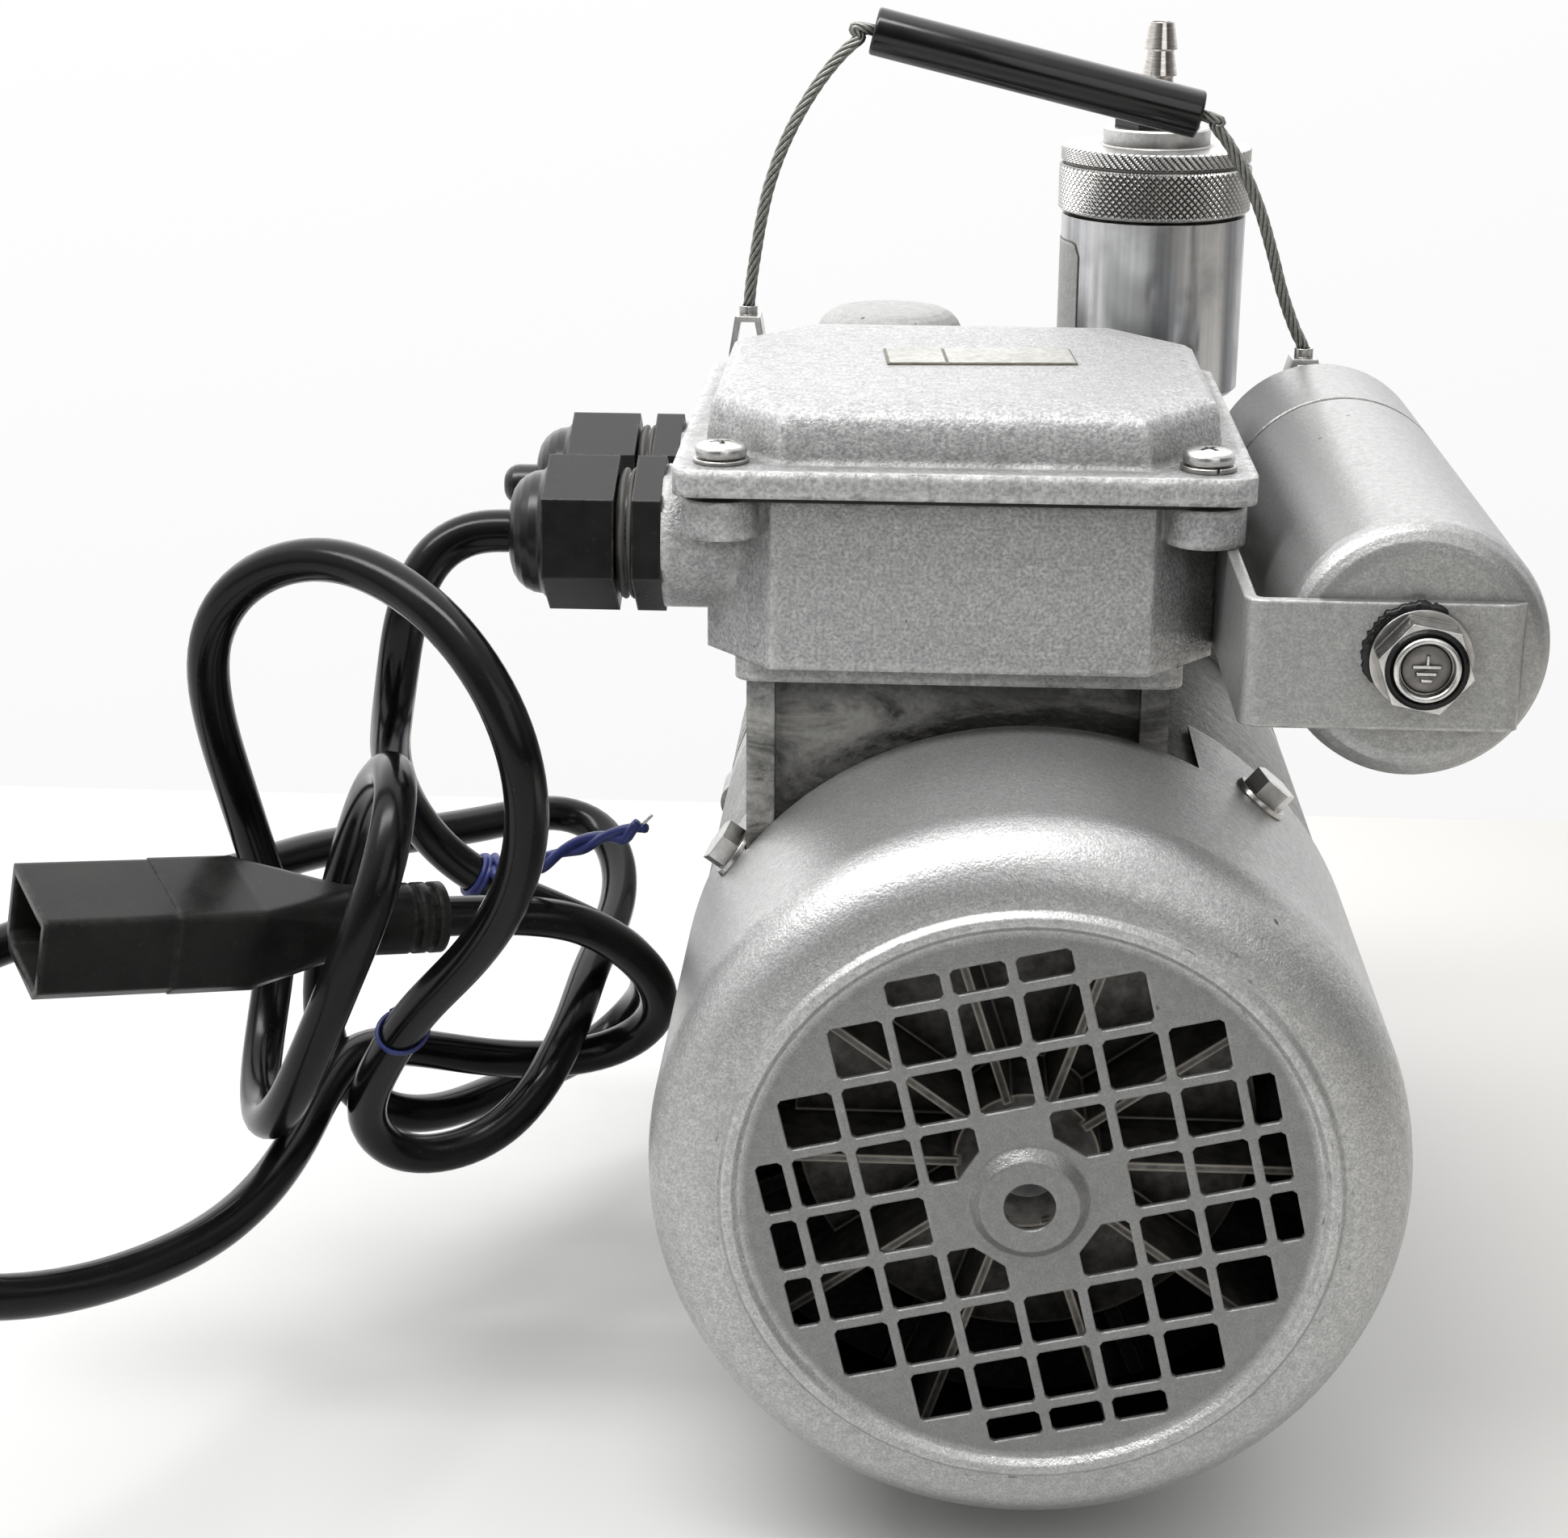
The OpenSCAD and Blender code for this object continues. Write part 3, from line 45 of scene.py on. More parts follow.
IMAGE_MIDDLE = (970.5, 952)      # in pixels of the whole 1941 x 1904 frame
FOCAL_PX = 3569                  # focal length in the same pixels
LENS = 66.2                      # about the same in mm, for the sensor's width below
SENSOR_WIDTH = 36
CAMERA_AT = Vector((-0.0203, -0.5968, 0.3055))
right = Vector((0.99865, 0.05203, 0.00579))
up = Vector((-0.02219, 0.32056, 0.94697))
forward = Vector((-0.04742, 0.94580, -0.32127))

camera_data = bpy.data.cameras.new("camera")
camera_data.sensor_fit = "HORIZONTAL"
camera_data.sensor_width = SENSOR_WIDTH
camera_data.lens = LENS
camera_data.clip_start = 0.02
camera = bpy.data.objects.new("camera", camera_data)
scene.collection.objects.link(camera)
place = Matrix((right, up, -forward)).transposed().to_4x4()
place.translation = CAMERA_AT
camera.matrix_world = place
scene.camera = camera


# Mesh helpers

def plain_object(name, verts, faces):
    """An object with a checked mesh, in metres."""
    me = bpy.data.meshes.new(name)
    me.from_pydata([tuple(v) for v in verts], [], faces)
    me.validate()
    ob = bpy.data.objects.new(name, me)
    scene.collection.objects.link(ob)
    return ob


def new_mesh(name, verts, faces, material, body, slot, smooth=True):
    """A mesh piece with one material that rides on a body."""
    ob = plain_object(name, verts, faces)
    ob.data.materials.append(material)
    if smooth:
        ob.data.shade_smooth()
    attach(ob, body)
    return ob


def frame_at(origin, axis, toward=None):
    """A matrix whose Z runs along axis, from origin."""
    z = Vector(axis).normalized()
    if toward:
        x = Vector(toward)
    elif abs(z.x) < 0.8:
        x = Vector((1, 0, 0))
    else:
        x = Vector((0, 1, 0))
    y = z.cross(x).normalized()
    x = y.cross(z)
    m = Matrix((x, y, z)).transposed().to_4x4()
    m.translation = origin
    return m


def grid_faces(rows, columns):
    """Faces between rows of points that close on themselves, the last row joined to the first."""
    faces = []
    for i in range(rows):
        j = (i + 1) % rows
        for k in range(columns):
            q = (k + 1) % columns
            faces.append((i * columns + k, i * columns + q, j * columns + q, j * columns + k))
    return faces


def lathe(profile, m, sides):
    """Points and faces of a closed profile of (radius, height) pairs in mm, turned round m's Z."""
    verts = []
    for r, h in profile:
        for k in range(sides):
            a = 2 * math.pi * k / sides
            verts.append(m @ Vector((r * MM * math.cos(a), r * MM * math.sin(a), h * MM)))
    return verts, grid_faces(len(profile), sides)


def round_corner(cx, cy, r, a0, a1, steps=4):
    """Points of an arc from angle a0 to angle a1, in degrees."""
    points = []
    for i in range(steps + 1):
        a = math.radians(a0 + (a1 - a0) * i / steps)
        points.append((cx + r * math.cos(a), cy + r * math.sin(a)))
    return points


def spline(p, steps):
    """A smooth curve drawn by its control points, with a number of steps between two of them."""
    out = []
    last = len(p) - 1
    for i in range(last):
        a = p[i - 1] if i else 2 * p[0] - p[1]
        d = p[i + 2] if i < last - 1 else 2 * p[last] - p[last - 1]
        for k in range(steps):
            t = k / steps
            out.append(((1 - t) ** 3 * a + (3 * t ** 3 - 6 * t * t + 4) * p[i]
                        + (-3 * t ** 3 + 3 * t * t + 3 * t + 1) * p[i + 1] + t ** 3 * d) / 6)
    return out + [p[last].copy()]


def through(p, steps):
    """A smooth curve that passes through its points."""
    out = []
    for i in range(len(p) - 1):
        a = p[i - 1] if i else 2 * p[0] - p[1]
        d = p[i + 2] if i < len(p) - 2 else 2 * p[-1] - p[-2]
        b, c = p[i], p[i + 1]
        for k in range(steps):
            t = k / steps
            out.append(0.5 * (2 * b + (c - a) * t + (2 * a - 5 * b + 4 * c - d) * t * t
                              + (3 * b - a - 3 * c + d) * t ** 3))
    return out + [p[-1].copy()]


def carried_frames(path):
    """Tangent and two normals at each point, turned as little as possible."""
    out = []
    n = None
    for i in range(len(path)):
        t = (path[min(i + 1, len(path) - 1)] - path[max(i - 1, 0)]).normalized()
        if n is None:
            n = Vector((0, 0, 1)) if abs(t.z) < 0.9 else Vector((0, 1, 0))
        n = (n - t * n.dot(t)).normalized()
        out.append((t, n, t.cross(n)))
    return out


def tube(path, radius, sides):
    """Points and faces of a round tube along a path, with flat ends."""
    verts, faces = [], []
    for q, (t, n, b) in zip(path, carried_frames(path)):
        for k in range(sides):
            a = 2 * math.pi * k / sides
            verts.append(q + radius * (math.cos(a) * n + math.sin(a) * b))
    for i in range(len(path) - 1):
        for k in range(sides):
            q = (k + 1) % sides
            faces.append((i * sides + k, i * sides + q, (i + 1) * sides + q, (i + 1) * sides + k))
    faces.append(tuple(range(sides - 1, -1, -1)))
    faces.append(tuple((len(path) - 1) * sides + k for k in range(sides)))
    return verts, faces


def joined(parts):
    """Several (points, faces) pairs as one."""
    verts, faces = [], []
    for v, f in parts:
        base = len(verts)
        verts += v
        faces += [tuple(i + base for i in q) for q in f]
    return verts, faces


def stepped_block(levels, corner):
    """Points and faces of a block with four sides; corner gives a point from a level and two signs."""
    verts = []
    for level in levels:
        for sx, sy in ((-1, -1), (1, -1), (1, 1), (-1, 1)):
            verts.append(corner(level, sx, sy))
    top = 4 * (len(levels) - 1)
    faces = [(3, 2, 1, 0), (top, top + 1, top + 2, top + 3)]
    for base in range(0, top, 4):
        faces += [(base + i, base + (i + 1) % 4, base + 4 + (i + 1) % 4, base + 4 + i) for i in range(4)]
    return verts, faces


# Material helpers

SAMPLES = 6              # samples of each bevel and occlusion node
FLAT_DOT = 0.995         # rounded and plain normals agree this well on a flat face
EDGE_DOT = 0.86          # and this well on a sharp edge
OPEN_AO = 0.95           # occlusion in the open
DEEP_AO = 0.55           # occlusion deep in a corner


class Material:
    """A material being made: nodes are added by kind and linked by socket name."""

    def __init__(self, name, **sockets):
        self.data = bpy.data.materials.new(name)
        self.data.use_nodes = True
        self.tree = self.data.node_tree
        self.shader = self.tree.nodes["Principled BSDF"]
        for key, value in sockets.items():
            self.shader.inputs[key.replace("_", " ")].default_value = value
        self.coords = self.tree.nodes.new("ShaderNodeTexCoord").outputs["Object"]

    def put(self, node, key, value):
        """Links a socket to an input, or sets the input to a plain value."""
        if isinstance(value, bpy.types.NodeSocket):
            self.tree.links.new(value, node.inputs[key])
        else:
            node.inputs[key].default_value = value

    def node(self, kind, inputs=None, **props):
        """A new node with its properties set and its inputs linked or set."""
        n = self.tree.nodes.new("ShaderNode" + kind)
        for key, value in props.items():
            setattr(n, key, value)
        for key, value in (inputs or {}).items():
            self.put(n, key, value)
        return n

    def noise(self, scale, detail, rough, at=None, distortion=0.0):
        """Noise from 0 to 1, read at the object's own coordinates unless others are given."""
        inputs = {"Vector": at or self.coords, "Scale": scale, "Detail": detail, "Roughness": rough,
                  "Distortion": distortion}
        return self.node("TexNoise", inputs).outputs["Fac"]

    def stretched(self, sx, sy, sz):
        """The object's own coordinates, with each axis scaled."""
        return self.node("Mapping", {"Vector": self.coords, "Scale": (sx, sy, sz)}).outputs["Vector"]

    def band(self, value, lo, hi, out_lo=0.0, out_hi=1.0):
        """Maps lo to out_lo and hi to out_hi, and holds the ends."""
        inputs = {"Value": value, "From Min": lo, "From Max": hi, "To Min": out_lo, "To Max": out_hi}
        return self.node("MapRange", inputs).outputs["Result"]

    def math(self, op, a, b=0.0):
        n = self.node("Math", operation=op)
        self.put(n, 0, a)
        self.put(n, 1, b)
        return n.outputs[0]

    def times(self, a, b):
        return self.math("MULTIPLY", a, b)

    def mix(self, share, a, b):
        """Two colours or vectors mixed by a share."""
        n = self.node("Mix", data_type="RGBA", blend_type="MIX")
        self.put(n, 0, share)
        for key, value in ((6, a), (7, b)):
            self.put(n, key, (*value, 1) if isinstance(value, tuple) else value)
        return n.outputs[2]

    def dot(self, a, b):
        return self.node("VectorMath", {0: a, 1: b}, operation="DOT_PRODUCT").outputs["Value"]

    def position(self):
        """X, Y and Z of the shaded point in the object's own coordinates."""
        return self.node("SeparateXYZ", {"Vector": self.coords}).outputs

    def from_axis(self, at):
        """Height above the shaft's axis, and distance from the axis."""
        up_z = self.math("SUBTRACT", at["Z"], AXIS_Z)
        square = self.math("ADD", self.times(at["X"], at["X"]), self.times(up_z, up_z))
        return up_z, self.math("SQRT", square)

    def true_normal(self):
        return self.node("NewGeometry").outputs["True Normal"]

    def rounded(self, radius):
        """The normal with edges rounded to a radius."""
        return self.node("Bevel", {"Radius": radius}, samples=SAMPLES).outputs["Normal"]

    def edges(self, radius):
        """1 on outer edges and inner corners within a radius, 0 on flat faces."""
        plain = self.node("NewGeometry").outputs["Normal"]
        return self.band(self.dot(self.rounded(radius), plain), FLAT_DOT, EDGE_DOT)

    def hollows(self, distance):
        """1 deep in corners and gaps, 0 in the open."""
        ao = self.node("AmbientOcclusion", {"Distance": distance}, samples=SAMPLES).outputs["AO"]
        return self.band(ao, OPEN_AO, DEEP_AO)

    def finish(self, color, rough, height, strength, distance, bevel=0.0, shape=None):
        """Links colour, roughness and height; shape is a mask and the normal that holds there."""
        self.tree.links.new(color, self.shader.inputs["Base Color"])
        if rough is not None:
            self.tree.links.new(rough, self.shader.inputs["Roughness"])
        bump = {"Height": height, "Strength": strength, "Distance": distance}
        if bevel:
            bump["Normal"] = self.rounded(bevel)
        if shape:
            bump["Normal"] = self.mix(shape[0], bump["Normal"], shape[1])
        self.tree.links.new(self.node("Bump", bump).outputs["Normal"], self.shader.inputs["Normal"])
        return self.data


def scaled(color, factor):
    """A darker or lighter copy of a colour."""
    return tuple(factor * v for v in color)


SPECK = (0.765, 0.785)           # noise values between which a dark speck comes in
BUMP_DEPTH = 0.0003
# pale colour of worn edges, used also as a painted highlight
WORN_AND_LIT = (0.85, 0.85, 0.83)


def paint(name, low, high, grain, bump, rough, metallic, hollow_shade=0.5, bevel=0.0008, wear_and_highlight=0.5,
          deep=(0.10, 0.098, 0.09), reach=0.007, cowl=False, neck=False):
    """Paint with a fine grain in colour and height, painted shade in corners, and edges lightened for wear
    and a painted highlight.
    """
    mat = Material(name, Metallic=metallic)
    fine = mat.noise(grain, 3, 0.6)
    mid = mat.noise(grain * 0.3, 3, 0.6)
    slow = mat.noise(22, 4, 0.6)
    color = mat.mix(mat.band(fine, 0.36, 0.64), low, high)
    color = mat.mix(mat.band(mid, 0.35, 0.7, 0.0, 0.45), color, scaled(low, 0.75))
    color = mat.mix(mat.band(slow, 0.3, 0.75, 0.0, 0.2), color, scaled(low, 0.9))
    # worn edges, lightened further as a painted highlight on rims and hole edges
    edge = mat.times(mat.edges(bevel * 1.6), mat.band(mat.noise(300, 3, 0.7), 0.35, 0.65))
    color = mat.mix(mat.times(edge, wear_and_highlight), color, WORN_AND_LIT)
    # painted shade: occlusion darkens corners and gaps towards the deep colour, mottled by noise
    mottled_shade = mat.times(mat.hollows(reach), mat.band(mat.noise(90, 5, 0.7), 0.3, 0.65, 0.35, 1.0))
    color = mat.mix(mat.times(mottled_shade, hollow_shade), color, deep)
    specks = mat.band(mat.noise(260, 2, 0.5), *SPECK)
    color = mat.mix(mat.times(specks, 0.8), color, (0.03, 0.03, 0.03))
    if neck:
        color = neck_marks(mat, color)
    shape = None
    if cowl:
        color = cowl_marks(mat, color)
        shape = shoulder_normal(mat)
    gloss = mat.band(mid, 0.2, 0.8, rough - 0.06, rough + 0.09)
    height = mat.math("ADD", fine, mat.times(mid, 1.2))
    return mat.finish(color, gloss, height, bump, BUMP_DEPTH, bevel, shape)


NECK_FRONT = -0.0903     # front of the neck under the terminal box
NECK_DEEP = 0.005        # the smears reach this far back from it
NECK_LOW = 0.118         # and start above this height
NECK_TOP = 0.1515        # upper end of the pale streak
OIL = (0.03, 0.029, 0.025)
RUBBED = (0.50, 0.49, 0.46)


def neck_marks(mat, color):
    """Oily smears and a pale worn streak on the front of the neck, above the cowl."""
    at = mat.position()
    smear = mat.noise(60, 5, 0.7, at=mat.stretched(0.5, 1, 1.4), distortion=1.2)
    back = NECK_FRONT + NECK_DEEP
    front = mat.times(mat.band(at["Y"], back + 0.0005, back), mat.band(at["Z"], NECK_LOW, NECK_LOW + 0.004))
    height = mat.math("ADD", at["Z"], mat.times(smear, 0.016))
    streak = mat.times(mat.band(height, NECK_TOP + 0.005, NECK_TOP + 0.002),
                       mat.band(smear, 0.40, 0.62))
    oily = mat.times(front, mat.band(smear, 0.62, 0.42, 0.1, 0.75))
    color = mat.mix(oily, color, OIL)
    return mat.mix(mat.times(mat.times(front, streak), 0.55), color, RUBBED)


SHOULDER_AT = 0.054      # radius where the cowl's rounded shoulder starts
SHOULDER_Y = -0.137      # where the shoulder ends and the straight side starts
SCUFF_IN = (0.0490, 0.0498)      # radii between which the scuffs come in
SCUFF_OUT = (0.0600, 0.0545)     # and fade out
SCUFF_Y = (-0.1425, -0.1475)     # the scuffs keep to the front of the cowl
FACE_R = (0.0503, 0.0488)        # edge of the flat grille face
FACE_Y = (-0.1480, -0.1496)
SHEET_BACK_Y = -0.1489           # behind this a face that looks inward is the sheet's inside
COWL_CENTRE = (0, -0.1, AXIS_Z)


def shoulder_normal(mat):
    """Where the pressed shoulder is, and its smooth outward direction from its radius and place."""
    at = mat.position()
    up_z, radius = mat.from_axis(at)
    beyond = mat.math("MAXIMUM", mat.math("SUBTRACT", radius, SHOULDER_AT), 0.0)
    out = mat.math("DIVIDE", beyond, radius)
    ahead = mat.math("MINIMUM", mat.math("SUBTRACT", at["Y"], SHOULDER_Y), 0.0)
    parts = {"X": mat.times(at["X"], out), "Y": ahead, "Z": mat.times(up_z, out)}
    way = mat.node("CombineXYZ", parts).outputs["Vector"]
    way = mat.node("VectorMath", {0: way}, operation="NORMALIZE").outputs["Vector"]
    agrees = mat.dot(way, mat.true_normal())
    there = mat.times(mat.math("GREATER_THAN", radius, SHOULDER_AT + 0.0002),
                      mat.math("GREATER_THAN", agrees, 0.9))
    return there, way


def cowl_marks(mat, color):
    """Scuffs that follow the bead round the grille, painted shade on the flat grille face, and painted
    shade on the inside of the sheet.
    """
    at = mat.position()
    up_z, radius = mat.from_axis(at)
    turn = mat.times(mat.math("ARCTAN2", up_z, at["X"]), 9.0)
    polar = mat.node("CombineXYZ", {"X": turn, "Y": mat.times(radius, 1500.0)}).outputs["Vector"]
    lines = mat.band(mat.noise(1.0, 4, 0.65, at=polar), 0.63, 0.70)
    near = mat.times(mat.band(radius, *SCUFF_IN), mat.band(radius, *SCUFF_OUT))
    marks = mat.times(mat.times(lines, near), mat.band(at["Y"], *SCUFF_Y))
    color = mat.mix(mat.times(marks, 0.75), color, (0.05, 0.05, 0.045))
    # painted shade: the flat grille face is darkened
    flat = mat.times(mat.band(radius, *FACE_R), mat.band(at["Y"], *FACE_Y))
    color = mat.mix(mat.times(flat, 0.66), color, (0.12, 0.12, 0.115))
    # painted shade: faces of the sheet that look inward, inside the cowl, are made nearly black
    apart = {0: mat.coords, 1: COWL_CENTRE}
    outward = mat.node("VectorMath", apart, operation="SUBTRACT").outputs["Vector"]
    facing = mat.dot(outward, mat.true_normal())
    inside = mat.times(mat.math("LESS_THAN", facing, 0.0),
                       mat.math("GREATER_THAN", at["Y"], SHEET_BACK_Y))
    return mat.mix(inside, color, (0.012, 0.012, 0.012))


FINE_DEPTH = 0.0002      # depth of the bump on metal and plastic


def metal(name, low, high, rough, grain=(1, 1, 1), scale=400, bump=0.05, bevel=0.0002, hollow_shade=0.4,
          metallic=1.0, hollow_shade_color=(0.10, 0.09, 0.075), edge=None):
    """Bare or plated metal with a turned or drawn grain, painted shade in its hollows and, given an edge
    colour, a painted highlight on its edges.
    """
    mat = Material(name, Metallic=metallic)
    line = mat.noise(scale, 4, 0.65, at=mat.stretched(*grain))
    blot = mat.noise(70, 4, 0.6)
    color = mat.mix(mat.band(line, 0.3, 0.7), low, high)
    color = mat.mix(mat.band(blot, 0.45, 0.75, 0, 0.35), color, scaled(low, 0.62))
    # painted shade: occlusion darkens the hollows
    color = mat.mix(mat.times(mat.hollows(0.003), hollow_shade), color, hollow_shade_color)
    # painted highlight: edges take a bright colour
    if edge:
        color = mat.mix(mat.edges(bevel * 2.2), color, edge)
    gloss = mat.band(blot, 0.3, 0.7, rough - 0.05, rough + 0.09)
    return mat.finish(color, gloss, line, bump, FINE_DEPTH, bevel)


def plastic(name, low, high, rough, scale=500, bump=0.08, bevel=0.0004, edge=0.0,
            tone=(0.3, 0.3, 0.3), spec=0.35):
    """Moulded black plastic or rubber: faint mottling, fine texture and rubbed edges."""
    mat = Material(name, Specular_IOR_Level=spec)
    fine = mat.noise(scale, 3, 0.6)
    slow = mat.noise(60, 4, 0.6)
    color = mat.mix(mat.band(slow, 0.3, 0.7), low, high)
    if edge:
        rub = mat.times(mat.edges(bevel * 1.3), mat.band(mat.noise(500, 3, 0.7), 0.3, 0.7))
        color = mat.mix(mat.times(rub, edge), color, tone)
    dust = mat.band(mat.noise(900, 2, 0.6), 0.66, 0.74, 0, 0.03)
    color = mat.mix(dust, color, (0.35, 0.34, 0.32))
    gloss = mat.band(slow, 0.3, 0.7, rough - 0.06, rough + 0.10)
    return mat.finish(color, gloss, fine, bump, FINE_DEPTH, bevel)


def filter_material():
    """Pale felt with its fibres."""
    mat = Material("filter_felt")
    fibre = mat.noise(1500, 4, 0.7)
    color = mat.mix(mat.band(fibre, 0.3, 0.7), (0.72, 0.69, 0.61), (0.90, 0.88, 0.82))
    return mat.finish(color, mat.band(fibre, 0, 1, 0.8, 0.95), fibre, 0.6, 0.0004)


HEX_HEIGHT = 0.0116      # top of the barb's black hexagon, above the barb's foot


def barb_material(top_of_hex):
    """Nickel plate above a height, black below it."""
    mat = Material("barb_nickel")
    line = mat.noise(300, 4, 0.65, at=mat.stretched(1, 1, 8))
    above = mat.band(mat.position()["Z"], top_of_hex, top_of_hex + 0.0001)
    black = mat.mix(mat.band(line, 0.3, 0.7), (0.006, 0.006, 0.006), (0.018, 0.018, 0.018))
    plated = mat.mix(mat.band(line, 0.3, 0.7), (0.50, 0.46, 0.42), (0.82, 0.79, 0.75))
    color = mat.mix(above, black, plated)
    mat.tree.links.new(above, mat.shader.inputs["Metallic"])
    return mat.finish(color, mat.band(above, 0, 1, 0.36, 0.16), line, 0.04, FINE_DEPTH, 0.0003)


def corners(name):
    """All the points of a CAD node, in metres."""
    ob = nodes[name]
    return [ob.matrix_world @ v.co for v in ob.data.vertices]


# The materials

cast = paint("cast_silver", (0.29, 0.295, 0.295), (0.60, 0.60, 0.595), grain=1500, bump=0.8, rough=0.40,
             metallic=0.4, hollow_shade=0.75, bevel=0.0022, wear_and_highlight=0.85)
# soiled frame, with a strong painted shade in its hollows and gaps
saddle = paint("cast_soiled_and_shaded", (0.22, 0.22, 0.215), (0.44, 0.44, 0.42), grain=900, bump=0.8, rough=0.46,
               metallic=0.38, hollow_shade=1.0, bevel=0.001, deep=(0.022, 0.021, 0.018), reach=0.012, neck=True)
sheet = paint("cowl_silver", (0.36, 0.365, 0.36), (0.60, 0.60, 0.595), grain=2300, bump=0.32, rough=0.31,
              metallic=0.72, hollow_shade=0.6, bevel=0.0008, wear_and_highlight=0.6, cowl=True)
tin = paint("can_silver", (0.32, 0.325, 0.32), (0.46, 0.46, 0.455), grain=2200, bump=0.22, rough=0.33,
            metallic=0.75, hollow_shade=0.5, bevel=0.0008, wear_and_highlight=0.6)
matte = paint("silencer_silver", (0.36, 0.36, 0.355), (0.46, 0.46, 0.45), grain=1800, bump=0.3, rough=0.62,
              metallic=0.2, hollow_shade=0.4, bevel=0.0008, wear_and_highlight=0.3)
# painted shade: the rear end shield in the cowl's shadow is painted nearly black
shaded_cast = paint("cast_painted_shade", (0.012, 0.012, 0.012), (0.05, 0.05, 0.048), grain=900, bump=0.6, rough=0.55,
              metallic=0.3, hollow_shade=1.0, bevel=0.0006, wear_and_highlight=0.2, deep=(0.006, 0.006, 0.006))
foil = paint("plate_foil", (0.34, 0.335, 0.31), (0.52, 0.51, 0.47), grain=700, bump=0.08, rough=0.38,
             metallic=0.4, hollow_shade=0.4, bevel=0.0002, wear_and_highlight=0.2)
foil_edge = paint("plate_edge", (0.05, 0.045, 0.03), (0.14, 0.11, 0.07), grain=900, bump=0.1, rough=0.4,
                  metallic=0.4, hollow_shade=0.4, bevel=0.0002, wear_and_highlight=0.2)
zinc = metal("zinc_plate", (0.52, 0.52, 0.51), (0.80, 0.79, 0.77), rough=0.20, bevel=0.0004, hollow_shade=0.7)
# vertical streaks from near black to near white: turned grain and a painted reflection
turned = metal("alu_grain_and_painted_reflection", (0.16, 0.165, 0.18), (0.92, 0.92, 0.93), rough=0.22, grain=(1, 1, 0.02),
               scale=85, bump=0.03, hollow_shade=0.6)
knurled = metal("knurled_alu", (0.58, 0.58, 0.58), (0.84, 0.84, 0.82), rough=0.28, scale=900, bump=0.05,
                hollow_shade=0.9, bevel=0.0)
nickel = metal("nickel_brass", (0.50, 0.46, 0.42), (0.82, 0.79, 0.75), rough=0.15, grain=(1, 1, 8),
               scale=300, bump=0.03)
# the fan is darkened as painted shade inside the cowl, and its pale edge colour is a painted highlight
alloy = metal("fan_alloy", (0.045, 0.043, 0.04), (0.19, 0.18, 0.165), rough=0.34, scale=300, bump=0.2,
              hollow_shade=0.85, metallic=0.55, bevel=0.0005, edge=(0.50, 0.46, 0.40), hollow_shade_color=(0.01, 0.01, 0.01))
iron = metal("dark_iron", (0.16, 0.155, 0.15), (0.30, 0.29, 0.28), rough=0.45, grain=(1, 6, 1), scale=300,
             bump=0.2)
steel = metal("ground_steel", (0.42, 0.42, 0.43), (0.62, 0.62, 0.63), rough=0.3, grain=(1, 0.1, 1),
              scale=900)
strand = metal("rope_steel", (0.20, 0.20, 0.185), (0.42, 0.42, 0.39), rough=0.38, scale=1500, bump=0.2,
               hollow_shade=0.9, metallic=0.85, hollow_shade_color=(0.03, 0.03, 0.028))
wire = metal("enamelled_copper", (0.40, 0.14, 0.05), (0.66, 0.27, 0.10), rough=0.3, scale=800)
gland = plastic("gland_nylon", (0.0035, 0.0035, 0.0035), (0.008, 0.008, 0.008), rough=0.26, edge=0.5,
                bevel=0.0005, tone=(0.16, 0.15, 0.14), spec=0.4)
thread = plastic("gland_thread", (0.03, 0.029, 0.026), (0.09, 0.086, 0.08), rough=0.5, edge=0.5,
                 bevel=0.0004, tone=(0.22, 0.21, 0.19))
pvc = plastic("cord_pvc", (0.003, 0.003, 0.003), (0.006, 0.006, 0.006), rough=0.17, scale=260, bump=0.06,
              spec=0.2)
plug_mat = plastic("plug_pvc", (0.007, 0.007, 0.007), (0.018, 0.018, 0.017), rough=0.25, scale=380,
                   bump=0.10, edge=0.5, bevel=0.0014, tone=(0.12, 0.12, 0.115), spec=0.08)
grip_mat = plastic("grip_gloss", (0.002, 0.002, 0.002), (0.004, 0.004, 0.004), rough=0.16, scale=120,
                   bump=0.04, spec=0.5)
rubber = plastic("rubber_black", (0.012, 0.012, 0.012), (0.03, 0.029, 0.028), rough=0.72, scale=900,
                 bump=0.3)
carbon = plastic("vane_carbon", (0.030, 0.030, 0.032), (0.06, 0.06, 0.06), rough=0.45, scale=1400, bump=0.2)
sealant = plastic("sealant_black", (0.004, 0.004, 0.004), (0.012, 0.012, 0.012), rough=0.22, scale=700,
                  bump=0.5)
tie_blue = plastic("tie_blue", (0.012, 0.016, 0.08), (0.03, 0.04, 0.17), rough=0.32, scale=900, bump=0.2,
                   edge=0.3, tone=(0.10, 0.13, 0.38))
felt = filter_material()
barb = barb_material(min(v.z for v in corners("hose_barb")) + HEX_HEIGHT)

# The mains cord

